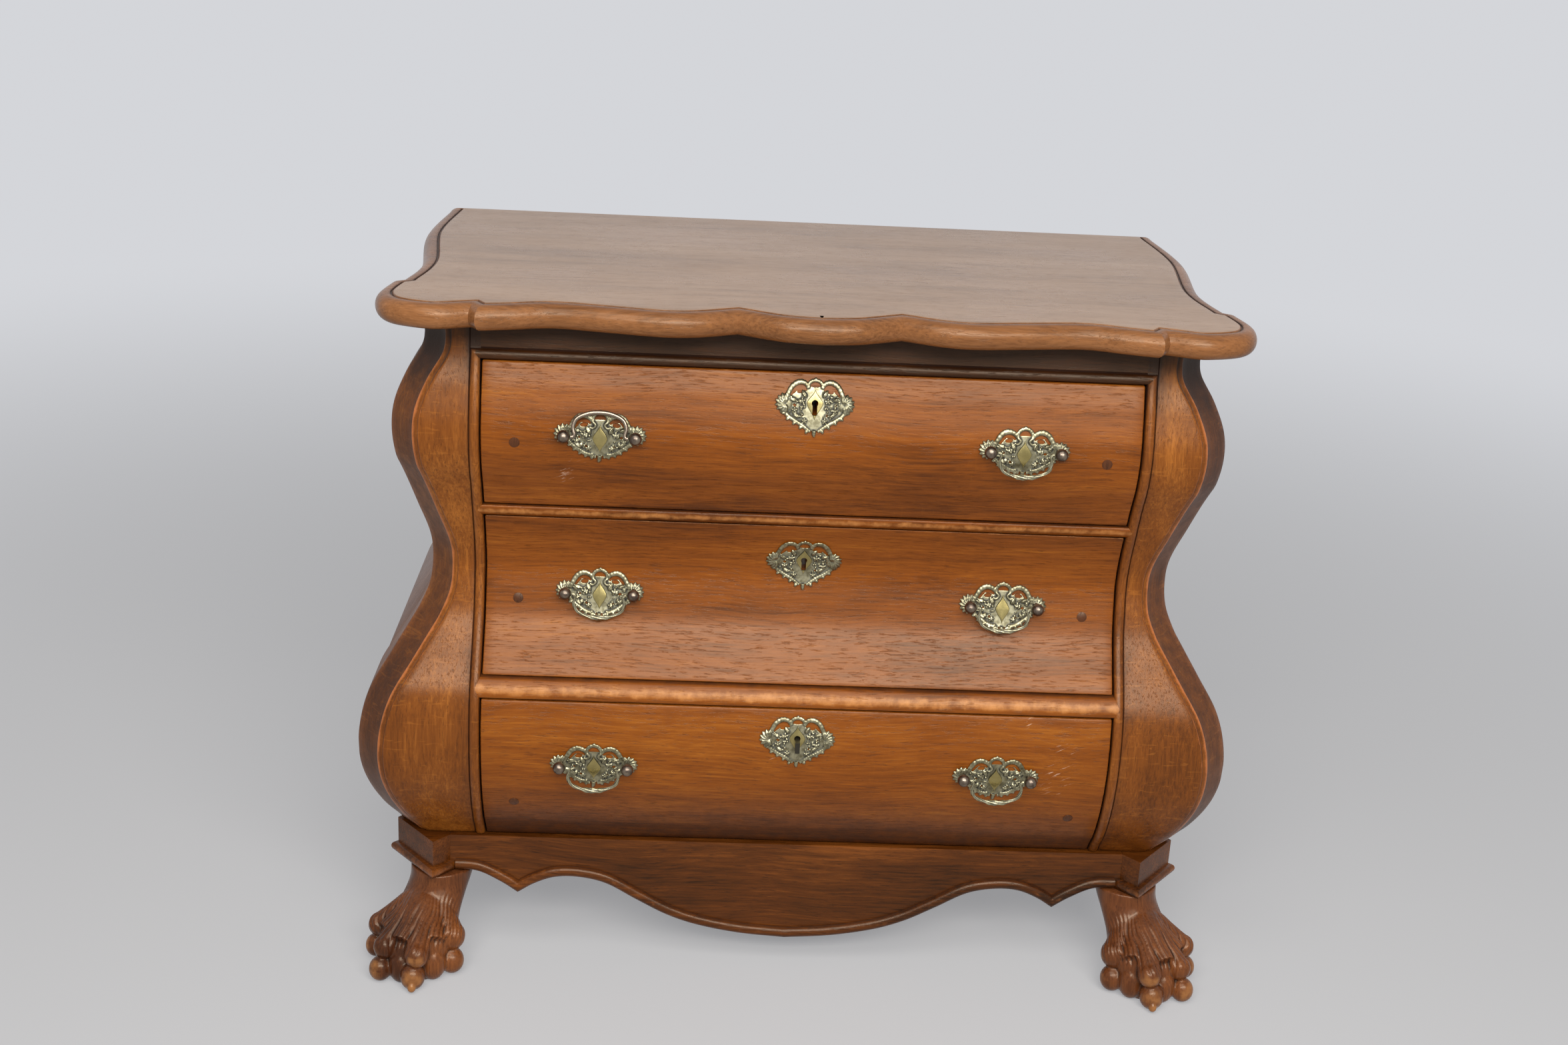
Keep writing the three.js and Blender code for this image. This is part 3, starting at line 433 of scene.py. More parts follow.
# Dark, middle and light colour of each oak
oakColors = {
    "red": [(0.068, 0.016, 0.0017), (0.190, 0.048, 0.0036), (0.34, 0.108, 0.010)],
    "rim": [(0.100, 0.036, 0.0110), (0.210, 0.083, 0.0280), (0.33, 0.145, 0.058)],
    "post": [(0.072, 0.019, 0.0028), (0.160, 0.044, 0.0052), (0.33, 0.110, 0.016)],
    # apron is darkened as painted shade low under the case; its streaks are grain
    "apron": [(0.016, 0.005, 0.0015), (0.076, 0.020, 0.0030), (0.21, 0.060, 0.009)],
    # top is the wood with a painted reflection of a pale wall, paler and greyer than the rim of the same board
    "top": [(0.20, 0.116, 0.066), (0.325, 0.197, 0.115), (0.41, 0.262, 0.163)],
    # frieze is painted dark as the shadow under the top board's overhang
    "frieze": [(0.006, 0.0018, 0.0006), (0.028, 0.008, 0.0016), (0.08, 0.023, 0.004)],
    "dark": [(0.028, 0.009, 0.004), (0.070, 0.022, 0.008), (0.14, 0.046, 0.015)],
    "foot": [(0.045, 0.013, 0.005), (0.115, 0.035, 0.011), (0.22, 0.072, 0.020)],
    "inner": [(0.22, 0.13, 0.065), (0.38, 0.245, 0.13), (0.5, 0.35, 0.2)],
}


# Pale scratches within reach of a few spots, each as (x, z, reach) in millimetres
scuffs = {
    "spots": [(-264, 630, 24), (309, 320, 15), (302, 284, 30), (262, 352, 10), (150, 246, 10),
              (-20, 300, 14)],
    "lean": 24, "stretch": (50, 1, 480), "range": (0.60, 0.68), "strength": 0.6,
    "color": (0.62, 0.42, 0.30, 1),
}


def addScuffs(tree, place, color):
    flatPlace = vectorNode(tree, "MULTIPLY", place, (1, 0, 1))[0]
    near = None
    for x, z, reach in scuffs["spots"]:
        gap = vectorNode(tree, "DISTANCE", flatPlace, (x * mm, 0, z * mm))["Value"]
        spot = rangeOf(tree, gap, reach * mm * 0.3, reach * mm, 1.0, 0.0)
        near = spot if near is None else mathNode(tree, "MAXIMUM", near, spot)
    turn = (0, scuffs["lean"] * deg, 0)
    tilted = addNode(tree, "Mapping", {"Vector": flatPlace, "Rotation": turn}).outputs[0]
    lines = rangeOf(tree, noiseOf(tree, tilted, 1.0, scuffs["stretch"], 3.0, 0.6), *scuffs["range"])
    seen = mathNode(tree, "MULTIPLY", mathNode(tree, "MULTIPLY", lines, near), scuffs["strength"])
    return mixColors(tree, seen, color, scuffs["color"])


# Each oak has its colours, the turn that brings its grain along X, and where its grain starts.
# What a row leaves out is as in plainOak. shine is the specular level, then its green and blue.
upright = (0, 90 * deg, 0)
intoDepth = (0, 0, 90 * deg)
plainOak = {
    "turn": (0, 0, 0), "flecks": 0.0, "blotches": 0.5, "gloss": 0.34, "bump": 0.42, "shine": (0.30, 0.82, 0.62),
    # darkening is the colour of dirt and painted shade in the grimy marks
    "worn": (0.46, 0.185, 0.05, 1), "grime": (0.022, 0.009, 0.006, 1), "scuffed": False,
}
inside = {"slot": "inner_oak", "look": "inner", "flecks": 0.2, "gloss": 0.62, "bump": 0.5}
oaks = {
    "oakFront": {"name": "oak_front", "slot": "oak", "look": "red", "offset": (0.3, 0.2, 0), "flecks": 0.05,
                 "blotches": 0.4, "scuffed": True},
    "oakFrieze": {"name": "oak_frieze", "slot": "oak", "look": "frieze", "offset": (0.3, 0.2, 0),
                  "blotches": 0.3, "gloss": 0.4},
    "oakUpright": {"name": "oak_upright", "slot": "oak", "look": "post", "turn": upright,
                   "offset": (0.1, 0.6, 0.2), "flecks": 0.32, "worn": (0.4, 0.125, 0.035, 1)},
    "oakTop": {"name": "oak_top", "slot": "top_oak", "look": "top", "offset": (1.3, 0.4, 0), "flecks": 0.1,
               "blotches": 0.35, "gloss": 0.3, "shine": (0.6, 1, 1)},
    "oakRim": {"name": "oak_rim", "slot": "top_oak", "look": "rim", "offset": (1.3, 0.4, 0), "blotches": 0.6,
               "gloss": 0.28},
    "oakDark": {"name": "oak_dark", "slot": "dark_oak", "look": "dark", "turn": upright,
                "offset": (0.7, 0.1, 0), "gloss": 0.33},
    "oakApron": {"name": "oak_apron", "slot": "oak", "look": "apron", "offset": (2.1, 0.9, 0.4),
                 "blotches": 0.55, "gloss": 0.28, "bump": 0.25, "worn": (0.30, 0.10, 0.03, 1)},
    "oakFoot": {"name": "oak_foot", "slot": "dark_oak", "look": "foot", "turn": upright,
                "offset": (0.4, 0.8, 0), "blotches": 0.6, "gloss": 0.24, "bump": 0.12,
                "worn": (0.30, 0.125, 0.04, 1)},
    "innerOak": {**inside, "name": "inner_oak", "offset": (0.5, 0.1, 0)},
    "innerDeep": {**inside, "name": "inner_oak_deep", "turn": intoDepth, "offset": (0.2, 0.7, 0)},
    "innerUpright": {**inside, "name": "inner_oak_upright", "turn": upright, "offset": (0.9, 0.3, 0)},
}


def makeOak(row):
    look = {**plainOak, **row}
    material, tree, shader = startMaterial(look["name"])
    dark, mid, light = ((*color, 1) for color in oakColors[look["look"]])
    place = objectPlace(tree)
    turned = {"Vector": place, "Rotation": look["turn"], "Location": look["offset"]}
    turned = addNode(tree, "Mapping", turned).outputs[0]
    grain = useGroup(tree, oakGrain, {
        "Vector": turned, "Dark": dark, "Mid": mid, "Light": light, "Flecks": look["flecks"],
        "Blotches": look["blotches"],
    })
    color = addScuffs(tree, place, grain["Color"]) if look["scuffed"] else grain["Color"]
    aged = useGroup(tree, aging, {
        "Vector": turned, "Color": color, "Worn": markValue(tree, "worn"), "Grimy": markValue(tree, "grimy"),
        "Worn Color": look["worn"], "Grime And Shade Color": look["grime"], "Scale": 70.0,
    })
    smear = noiseOf(tree, place, 9.0)
    rough = mathNode(tree, "MULTIPLY_ADD", smear, 0.16, look["gloss"] - 0.08)
    rough = mathNode(tree, "MULTIPLY_ADD", aged["Grimy"], 0.2, rough)
    rough = mathNode(tree, "MULTIPLY_ADD", grain["Shine"], -0.06, rough)
    height = {"Height": grain["Height"], "Strength": look["bump"], "Distance": 0.0005}
    level, green, blue = look["shine"]
    setInputs(tree, shader, {
        "Base Color": aged["Color"], "Roughness": rough, "Normal": addNode(tree, "Bump", height).outputs[0],
        "Specular IOR Level": level, "Specular Tint": (1.0, green, blue, 1),
    })
    return material


# Old metal: bright and dull clouds under a thin patina, with the crevices painted dark as dirt and shade
plainMetal = {"rough": 0.34, "scale": 160.0}
metals = {
    "brass": {"name": "old_brass", "slot": "old_brass", "bright": (0.36, 0.33, 0.21, 1),
              "dull": (0.150, 0.132, 0.075, 1), "patina": (0.115, 0.115, 0.088, 1),
              "crevice": (0.014, 0.011, 0.007, 1)},
    "plainBrass": {"name": "plain_brass", "slot": "old_brass", "bright": (0.37, 0.30, 0.12, 1),
                   "dull": (0.28, 0.225, 0.085, 1), "patina": (0.21, 0.175, 0.08, 1),
                   "crevice": (0.02, 0.016, 0.008, 1), "rough": 0.26, "scale": 60.0},
    "bronze": {"name": "bronze", "slot": "bronze", "bright": (0.24, 0.19, 0.14, 1),
               "dull": (0.09, 0.065, 0.05, 1), "patina": (0.13, 0.11, 0.09, 1),
               "crevice": (0.02, 0.015, 0.012, 1), "rough": 0.3},
    "iron": {"name": "lock_iron", "slot": "lock_iron", "bright": (0.36, 0.34, 0.31, 1),
             "dull": (0.2, 0.18, 0.16, 1), "patina": (0.2, 0.15, 0.11, 1),
             "crevice": (0.03, 0.024, 0.02, 1), "rough": 0.42, "scale": 90.0},
}


def makeMetal(row):
    look = {**plainMetal, **row}
    material, tree, shader = startMaterial(look["name"])
    place = objectPlace(tree)
    clouds = noiseOf(tree, place, look["scale"], detail=5.0, rough=0.6)
    fine = noiseOf(tree, place, look["scale"] * 7, detail=3.0, rough=0.6)
    base = mixColors(tree, rangeOf(tree, clouds, 0.35, 0.68), look["dull"], look["bright"])
    veil = mathNode(tree, "ADD", markValue(tree, "grimy"), mathNode(tree, "MULTIPLY", clouds, 0.35))
    veil = rangeOf(tree, veil, 0.3, 0.62)
    base = mixColors(tree, mathNode(tree, "MULTIPLY", veil, 0.75), base, look["patina"])
    aged = useGroup(tree, aging, {
        "Vector": place, "Color": base, "Worn": markValue(tree, "worn"), "Grimy": markValue(tree, "grimy"),
        "Worn Color": look["bright"], "Grime And Shade Color": look["crevice"], "Scale": 420.0,
    })
    rough = mathNode(tree, "MULTIPLY_ADD", veil, 0.26, look["rough"])
    height = {"Height": fine, "Strength": 0.25, "Distance": 0.0002}
    setInputs(tree, shader, {
        "Base Color": aged["Color"], "Metallic": mathNode(tree, "MULTIPLY_ADD", veil, -0.55, 0.92),
        "Roughness": mathNode(tree, "MULTIPLY_ADD", aged["Worn"], -0.1, rough),
        "Normal": addNode(tree, "Bump", height).outputs[0],
    })
    return material


looks = {key: makeOak(row) for key, row in oaks.items()}
looks.update({key: makeMetal(row) for key, row in metals.items()})
print("chest: materials made")


def finished(obj, look, body, *nodes):
    obj.data.materials.clear()
    obj.data.materials.append(looks[look])
    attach(obj, body)
    if nodes:
        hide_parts(*nodes)
    return obj


# A right hand piece and its mirrored twin on the left
def finishedPair(right, look, node):
    left = mirroredCopy(right, right.name.replace("Right", "Left"))
    finished(right, look, "case", node + "_right")
    finished(left, look, "case", node + "_left")


# Top board
topBoard = {
    "runEnd": (359, 2), "cusp": (87, 30), "swell": (163, 6), "hollow": (80, 25), "notch": (8, 13),
    "lobe": {"out": 111, "front": 3, "cornerOut": 93, "cornerBack": 21, "endOut": 105, "endBack": 118,
             "sideBack": 60},
    "side": {"out": 95, "step": 8, "hollowOut": 86, "hollowBack": 220.5, "bellyOut": 104,
             "bellyFromBack": 155.5, "backOut": 97},
    "round": 14.5, "groove": 16.6, "grooveWidth": 2.4, "grooveDepth": 1.8, "fineness": 5, "backShare": 0.06,
    # from the underside round the nose, over the groove and on to the flat; the underside is painted darker as
    # shade, the groove as dirt and shade
    "worn": [0, 0, 0, 0, 0, 0, 0.05, 0.15, 0.25, 0.3, 0.3, 0.25, 0.2, 0.1, 0, 0, 0, 0, 0, 0, 0.3, 0.15, 0],
    "grimy": [0.6, 0.5, 0.4, 0.25, 0.1, 0, 0, 0, 0, 0, 0, 0,
              0, 0, 0.05, 0.12, 0.3, 0.7, 0.8, 0.7, 0.25, 0.05, 0],
}


def topHalf():
    front = -case["halfDepth"]
    endX, endBack = topBoard["runEnd"]
    cuspX, cuspBack = topBoard["cusp"]
    swellX, swellBack = topBoard["swell"]
    hollowX, hollowBack = endX - topBoard["hollow"][0], topBoard["hollow"][1]
    lobe, side, fine = topBoard["lobe"], topBoard["side"], topBoard["fineness"]
    bow = curveThrough([(0, front), (cuspX / 2, front + cuspBack / 4), (cuspX, front + cuspBack)], 6 * fine)
    run = curveThrough([
        (cuspX, front + cuspBack), ((cuspX + swellX) / 2, front + (cuspBack + swellBack) / 3),
        (swellX, front + swellBack), ((swellX + hollowX) / 2, front + (swellBack + hollowBack) / 2),
        (hollowX, front + hollowBack), ((hollowX + endX) / 2, front + (hollowBack + endBack) / 2),
        (endX, front + endBack)], 13 * fine)
    corner = curveThrough([
        (endX + topBoard["notch"][0], front + endBack + topBoard["notch"][1]),
        (endX + lobe["cornerOut"] / 2, front + lobe["front"]),
        (endX + lobe["cornerOut"], front + lobe["cornerBack"]), (endX + lobe["out"], front + lobe["sideBack"]),
        (endX + lobe["endOut"], front + lobe["endBack"])], 12 * fine)
    flank = curveThrough([
        (endX + side["out"], front + lobe["endBack"] + side["step"]),
        (endX + side["hollowOut"], front + side["hollowBack"]),
        (endX + side["bellyOut"], case["halfDepth"] - side["bellyFromBack"]),
        (endX + side["backOut"], case["halfDepth"] - 9)], 10 * fine)
    back = Vector((endX + side["backOut"], case["halfDepth"]))
    return bow + run[1:] + corner + flank + [back]


def crossOf(a, b):
    return a.x * b.y - a.y * b.x


# The outline drawn in, with clean mitres at its outer corners
def drawnIn(outline, inset):
    count = len(outline)
    moved, normals, corners = [], [], []
    for i, p in enumerate(outline):
        a = (p - outline[i - 1]).normalized()
        b = (outline[(i + 1) % count] - p).normalized()
        normal = Vector((-a.y - b.y, a.x + b.x)).normalized()
        stretch = min(1 / max(normal.dot(Vector((-a.y, a.x))), 0.1), 2)
        normals.append(normal)
        if p.y > case["halfDepth"] - 0.3:
            back = p.y - max(inset - 10, 0) * topBoard["backShare"]
            moved.append(Vector((p.x - math.copysign(inset, p.x), back)))
            continue
        if crossOf(a, b) > 0.34:
            corners.append(i)
        moved.append(p + normal * (inset * stretch))
    for c in corners:
        for way in (-1, 1):
            for k in range(1, 30):
                i = (c + way * k) % count
                if (outline[i] - outline[c]).length > inset * 2.5:
                    break
                before = crossOf(normals[c], outline[i] - outline[c])
                after = crossOf(normals[c], moved[i] - outline[c])
                if before * after < 0:
                    moved[i] = moved[c].copy()
    return moved


def makeTop():
    half = topHalf()
    outline = half + [Vector((-p.x, p.y)) for p in reversed(half[1:])]
    full, reach = case["topThick"], topBoard["round"]
    base = case["caseTop"] + case["seat"]
    profile = []
    for k in range(17):
        angle = -90 + 180 * k / 16
        inset = reach * (1 - math.cos(angle * deg) ** 0.85)
        profile.append((inset, full / 2 * (1 + math.sin(angle * deg))))
    groove, wide, deep = topBoard["groove"], topBoard["grooveWidth"], topBoard["grooveDepth"]
    profile[-1] = (reach, full - 0.35)
    profile += [(groove - 0.5, full - 0.6), (groove, full - deep), (groove + wide / 2, full - deep * 1.1),
                (groove + wide, full - 0.25), (groove + wide + 0.8, full), (groove + wide + 9, full)]
    rings = [[(p.x, p.y, base + rise) for p in drawnIn(outline, inset)] for inset, rise in profile]
    worn, grimy = ([[value] * len(outline) for value in topBoard[mark]] for mark in ("worn", "grimy"))
    obj = loftOf("topBoardPiece", rings, worn, grimy, angle=28)
    finished(obj, "oakRim", "case", "top_board")
    # The flat face takes the top palette, with its painted reflection
    obj.data.materials.append(looks["oakTop"])
    level = (base + full - 0.1) * mm
    for face in obj.data.polygons:
        if face.center.z > level:
            face.material_index = 1


makeTop()
print("chest: top board made")

# Front posts with their beads, worn arris strips and canted outer faces
postLook = {
    "levels": 120, "beadLevels": 20, "beadSteps": 14, "tuck": 1.2, "crown": 0.5, "dusk": 0.7, "paintedShadeReach": 90,
    # steps of the plan as (x, y, worn, grimy), each group from a place of its own; the canted face is painted
    # darker as shade, the quirk as dirt and shade
    "quirk": [(0.5, 1.0, 0, 0.85), (1.4, 0, 0, 0.4)],
    "arris": [(-1.2, 0, 0.3, 0), (-0.3, 0.4, 0.55, 0), (0.5, 1.4, 0, 0.5), (1.2, 1.5, 0, 0.3)],
    "stripWidth": 7, "stripFall": 4.34,
    "strip": [(-1, -0.8, 0.75, 0), (-0.2, 0, 0.95, 0), (0.4, 1.3, 0.1, 0.5)],
    "side": [(-1.2, -1, 0.2, 0.3), (-0.3, 1, 0.2, 0.3), (0, 4, 0, 0.3)],
}


def postColumns(z):
    front, arris = frontAt(z), arrisAt(z)
    side = min(arris + case["cant"], case["halfWidth"])
    start, wide = case["openingHalf"], case["beadWidth"]
    above = z - case["openingTop"]
    points = [(start, -case["postBack"], 0, 0.6), (start, front + 3, 0, 0.7)]

    def addSteps(group, x, y):
        points.extend((x + dx, y + dy, worn, grimy) for dx, dy, worn, grimy in postLook[group])

    for a in between(0, 1, postLook["beadSteps"]):
        proud = halfRound(max(a, above / wide)) if above > 0 else halfRound(a)
        points.append((start + wide * a, front - case["beadProud"] * proud,
                       0.3 * proud ** 4, 0.55 * (1 - proud)))
    addSteps("quirk", start + wide, front)
    flat = points[-1][0]
    for a in (0.1, 0.3, 0.5, 0.7, 0.9):
        crown = postLook["crown"] * math.sin(a * math.pi)
        points.append((flat + (arris - flat) * a, front - crown, 0, 0.25 * (1 - a) ** 2))
    addSteps("arris", arris, front)
    strip, fall = arris + postLook["stripWidth"], postLook["stripFall"]
    addSteps("strip", strip, front + fall)
    # The canted face, which turns away from the light, is painted darker as shade
    for a in (0.25, 0.5, 0.75):
        y = front + fall + (case["cant"] - fall) * a
        points.append((strip + (side - strip) * a, y + 0.6, 0, 0.5))
    addSteps("side", side, front + case["cant"])
    return points + [(side, -case["postBack"], 0, 0.4)]


def makePosts():
    low, high = case["plinthTop"] + case["seat"], case["caseTop"]
    beadLow, beadHigh = case["openingTop"] - 0.6, case["openingTop"] + case["beadWidth"] + 0.6
    levels = {*between(low, high, postLook["levels"]), low + 0.5, low + 1.5}
    levels = sorted(levels | set(between(beadLow, beadHigh, postLook["beadLevels"])))
    rings, worn, grimy = [], [], []
    for z in levels:
        tuck = postLook["tuck"] * max(1 - (z - low) / 1.6, 0) ** 2
        columns = postColumns(z)
        # Painted shade under the top board, darkest at the top; it also hides the wear there
        dusk = postLook["dusk"] * max(1 - (high - z) / postLook["paintedShadeReach"], 0)
        # The tucked-in foot is painted dark as the shade in its gap
        foot = 0.5 if z - low < 1 else 0
        rings.append([(x - (tuck if x > 380 else 0), y + tuck, z) for x, y, _, _ in columns])
        worn.append([w * (1 - dusk) for _, _, w, _ in columns])
        grimy.append([min(g + dusk + foot, 1) for _, _, _, g in columns])
    right = loftOf("frontPostRightPiece", rings, worn, grimy, angle=28)
    finishedPair(right, "oakUpright", "front_post")


makePosts()
print("chest: posts made")


def roundedSection(x0, x1, y0, y1, r):
    points = []
    for cx, cy, start in ((x1 - r, y0 + r, -90), (x1 - r, y1 - r, 0),
                          (x0 + r, y1 - r, 90), (x0 + r, y0 + r, 180)):
        for k in range(4):
            angle = (start + 30 * k) * deg
            points.append((cx + r * math.cos(angle), cy + r * math.sin(angle)))
    return points


sideLook = {"levels": 90, "ease": 0.8, "frontWorn": 0.4, "topDusk": 40, "footShadeReach": 14}


def makeSides():
    rings, worn, grimy = [], [], []
    for z in between(case["plinthTop"] + case["seat"], case["caseTop"], sideLook["levels"]):
        outer = arrisAt(z) + case["cant"] - case["sideBack"]
        plan = roundedSection(outer - case["sideThick"], outer, case["seat"] - case["postBack"],
                              case["caseBack"], sideLook["ease"])
        rings.append([(x, y, z) for x, y in plan])
        worn.append([sideLook["frontWorn"] if y > 0 and x > outer - 3 else 0 for x, y in plan])
        # Painted shade under the top board and just above the plinth
        dusk = max(1 - (case["caseTop"] - z) / sideLook["topDusk"], 0) * 0.5
        dusk += max(1 - (z - case["plinthTop"]) / sideLook["footShadeReach"], 0) * 0.5
        grimy.append([min(dusk + (0.5 if y < 0 else 0.06), 1) for x, y in plan])
    right = loftOf("sidePanelRightPiece", rings, worn, grimy)
    finishedPair(right, "oakUpright", "side_panel")


makeSides()

# Back: upright boards with a groove between them
backLook = {"boards": 6, "half": 400, "gap": 1.4, "depth": 2.2, "footHalf": 450, "ease": 0.8}


def makeBack():
    half, gap, ease = backLook["half"], backLook["gap"], backLook["ease"]
    seams = [-half + 2 * half * i / backLook["boards"] for i in range(1, backLook["boards"])]
    front, back = case["caseBack"] + case["seat"], case["halfDepth"]
    rings, grimy = [], []
    step = case["plinthTop"]
    for z in [case["mouldingTop"], step - 0.4, step] + between(step + 2, case["caseTop"], 80):
        side = backLook["footHalf"] if z < step - 0.3 else arrisAt(z) + case["cant"] - case["sideBack"]
        line = [(-side, back - ease, 0), (-side + ease, back, 0)]
        for x in seams:
            line += [(x - gap, back, 0.2), (x, back - backLook["depth"], 1), (x + gap, back, 0.2)]
        line += [(side - ease, back, 0), (side, back - ease, 0), (side, front, 0.3), (-side, front, 0.3)]
        rings.append([(x, y, z) for x, y, _ in line])
        grimy.append([g for _, _, g in line])
    obj = loftOf("backPanelPiece", rings, grimy=grimy)
    finished(obj, "innerUpright", "case", "back_panel")


makeBack()
print("chest: sides and back made")


# Rails and frieze with their half rounds, which run in behind the beads of the posts.
# slot is the room for the lock bolt: half its width, then in front, behind, below and above.
railLook = {"half": 366.3, "steps": 16, "slot": (11, 1, 7, 5, 7), "worn": 0.62, "friezeWorn": 0.1}


def railPiece(name, node, low, high, top, drawer):
    frieze = top > high
    # The crests of the half rounds are lightened as wear and as a painted highlight; the frieze's bead much
    # less
    wearAndHighlight = railLook["friezeWorn" if frieze else "worn"]
    outline = [(-case["postBack"], low, 0, 0.6)]
    for a in between(0, 1, railLook["steps"]):
        z = low + (high - low) * a
        proud = halfRound(a) ** 0.9
        outline.append((frontAt(z) - case["beadProud"] * proud, z, wearAndHighlight * proud ** 3, 0.6 * (1 - proud)))
    # The frieze is painted dark as the shadow under the top board's overhang, darker towards the top, and its
    # bead is barely lightened
    if frieze:
        outline.append((frontAt(high + 0.6) + 0.8, high + 0.6, 0, 1))
        for z in between(high + 1.6, top, 10):
            outline.append((frontAt(z), z, 0, 0.3 + 0.5 * (z - high) / (top - high)))
    outline.append((-case["postBack"], top, 0, 0.6))
    _, _, worn, grimy = zip(*outline)
    half = railLook["half"]
    obj = loftOf(name, [[(x, y, z) for y, z, _, _ in outline] for x in (-half, half)], worn, grimy, angle=30)
    wide, ahead, behind, below, above = railLook["slot"]
    bolt = drawer["inner"] + drawerLook["boltBack"]
    cutWith(obj, [boxAt((-wide, bolt - ahead, low - below), (wide, bolt + behind, low + above))])
    finished(obj, "oakFrieze" if frieze else "oakFront", "case", node)


# Drawer fronts: heights of each, and of its keyhole, handles and plugs; darkening is how much painted shade it
# has towards its bottom edge
# shadeReach is how high that painted shade reaches; endDarkening makes the last 15 mm at each end darker
drawerLook = {"gap": 1.5, "edge": 1.8, "thick": 18, "boltBack": 5, "keyRadius": 3.6, "keySlot": 5.2,
              "keyLength": 13, "plugX": 323, "plugRadius": 5.8, "shadeReach": 90, "endDarkening": 0.16}
lowRail, highRail = case["lowerRail"], case["upperRail"]
drawerSets = {
    "top": {"low": highRail[1], "high": case["openingTop"], "key": 718, "handle": 671.5, "plug": 663,
            "grime": 0},
    "middle": {"low": lowRail[1], "high": highRail[0], "key": 519, "handle": 469.6, "plug": 462, "grime": 0},
    "bottom": {"low": case["plinthTop"], "high": lowRail[0], "key": 326, "handle": 281, "plug": 226,
               "grime": 0.5},
}
for drawer in drawerSets.values():
    levels = between(drawer["low"] + drawerLook["gap"], drawer["high"] - drawerLook["gap"], 12)
    drawer["inner"] = max(frontAt(z) for z in levels) + drawerLook["thick"]

friezeLow = case["openingTop"]
railPiece("friezePiece", "frieze_rail", friezeLow, friezeLow + case["beadWidth"], case["caseTop"],
          drawerSets["top"])
railPiece("upperRailPiece", "drawer_rail_upper", *highRail, highRail[1], drawerSets["middle"])
railPiece("lowerRailPiece", "drawer_rail_lower", *lowRail, lowRail[1], drawerSets["bottom"])
print("chest: rails made")

# Plinth: apron with its half round, corner blocks and sides
plinth = {
    "half": 402, "front": 169, "thick": 22, "edge": 126, "drop": 92, "width": 13, "proud": 6.5,
    "sideX": 450, "sideThick": 22, "blockProud": 7, "blockBack": 69,
    "blockCorners": [(419.5, -19), (469, 41), (450, 60)],
    "belly": [(0, 1), (0.14, 0.95), (0.27, 0.84), (0.36, 0.7), (0.45, 0.49), (0.54, 0.27), (0.62, 0.19),
              (0.69, 0.2), (0.75, 0.3), (0.8, 0.44)],
    "arch": [(0.8, 0.44), (0.85, 0.29), (0.92, 0.14), (1, 0.12)],
}


def apronEdge():
    half = [(t, smoothLine(plinth["belly"], t)) for t in between(0, 0.8, 90)]
    half += [(t, smoothLine(plinth["arch"], t)) for t in between(0.8, 1, 24)[1:]]
    right = [Vector((plinth["half"] * t, plinth["edge"] - plinth["drop"] * drop)) for t, drop in half]
    return [Vector((-p.x, p.y)) for p in reversed(right[1:])] + right


def makeApron():
    edge = apronEdge()
    top = case["plinthTop"]
    outline = [(p.x, p.y) for p in edge] + [(plinth["half"], top), (-plinth["half"], top)]
    front, back = -plinth["front"], plinth["thick"] - plinth["front"]
    rings = [[(x, y, z) for x, z in outline] for y in (front, back)]
    finished(loftOf("apronPiece", rings, angle=30), "oakApron", "case", "apron")

    line = [p for p in edge if abs(p.x) < plinth["half"] - 2 * plinth["proud"] - 2]
    ends = plinth["half"] - plinth["proud"]
    line = [Vector((-ends, edge[0].y))] + line + [Vector((ends, edge[0].y))]
    steps = between(0, 1, 14)
    rings = []
    last = len(line) - 1
    ups, corners = [], []
    for i, p in enumerate(line):
        a = (p - line[max(i - 1, 0)]).normalized()
        b = (line[min(i + 1, last)] - p).normalized()
        up = Vector((-a.y - b.y, a.x + b.x)).normalized()
        reach = 1 / max(up.dot(Vector((-a.y, a.x))), 0.4) if 0 < i < last else 1
        ups.append(up * reach)
        if crossOf(a, b) > 0.3:
            corners.append(i)
    for i, p in enumerate(line):
        ring = []
        for a in steps:
            spot = p + ups[i] * (plinth["width"] * a)
            for c in corners:
                if i != c and abs(i - c) < 14:
                    before = crossOf(ups[c], p - line[c])
                    if before * crossOf(ups[c], spot - line[c]) < 0:
                        spot = line[c] + ups[c] * (plinth["width"] * a)
            proud = halfRound(a) ** 0.9
            ring.append((spot.x, front - case["seat"] - plinth["proud"] * proud, spot.y))
        rings.append(ring)
    values = [halfRound(a) for a in steps]
    worn, grimy = [0.35 * v ** 4 for v in values], [0.6 * (1 - v) for v in values]
    obj = loftOf("apronMouldingPiece", rings, worn, grimy, angle=40)
    finished(obj, "oakApron", "case", "apron_moulding")


# Plan of a corner block: its outer corners from the apron to the side, pushed out by the moulding
def blockRing(z, proud):
    front = -plinth["front"]
    inner, back = plinth["half"] + case["seat"], front + plinth["blockBack"]
    corners = [Vector((inner, front - case["seat"]))]
    corners += [Vector((x, front + y)) for x, y in plinth["blockCorners"]] + [Vector((plinth["sideX"], back))]
    ways = [(b - a).normalized() for a, b in zip(corners, corners[1:])]
    normals = [Vector((w.y, -w.x)) for w in ways]
    points = [corners[0] + Vector((proud / normals[0].x, 0))]
    for i in (1, 2, 3):
        both = normals[i - 1] + normals[i]
        points.append(corners[i] + both * (proud / (1 + normals[i - 1].dot(normals[i]))))
    points += [corners[4] + normals[3] * proud, Vector((inner, back)), corners[0]]
    return [(p.x, p.y, z) for p in points]


def mouldedLevels():
    low, high, flat = case["ankleTop"], case["mouldingTop"], case["seat"]
    levels = []
    for a in between(0, 1, 16):
        levels.append((low + (high - low) * a, max(plinth["blockProud"] * halfRound(a) ** 0.9, flat)))
    return levels + [(high + 0.8, flat), (case["plinthTop"] - 1, flat), (case["plinthTop"], 0.0)]


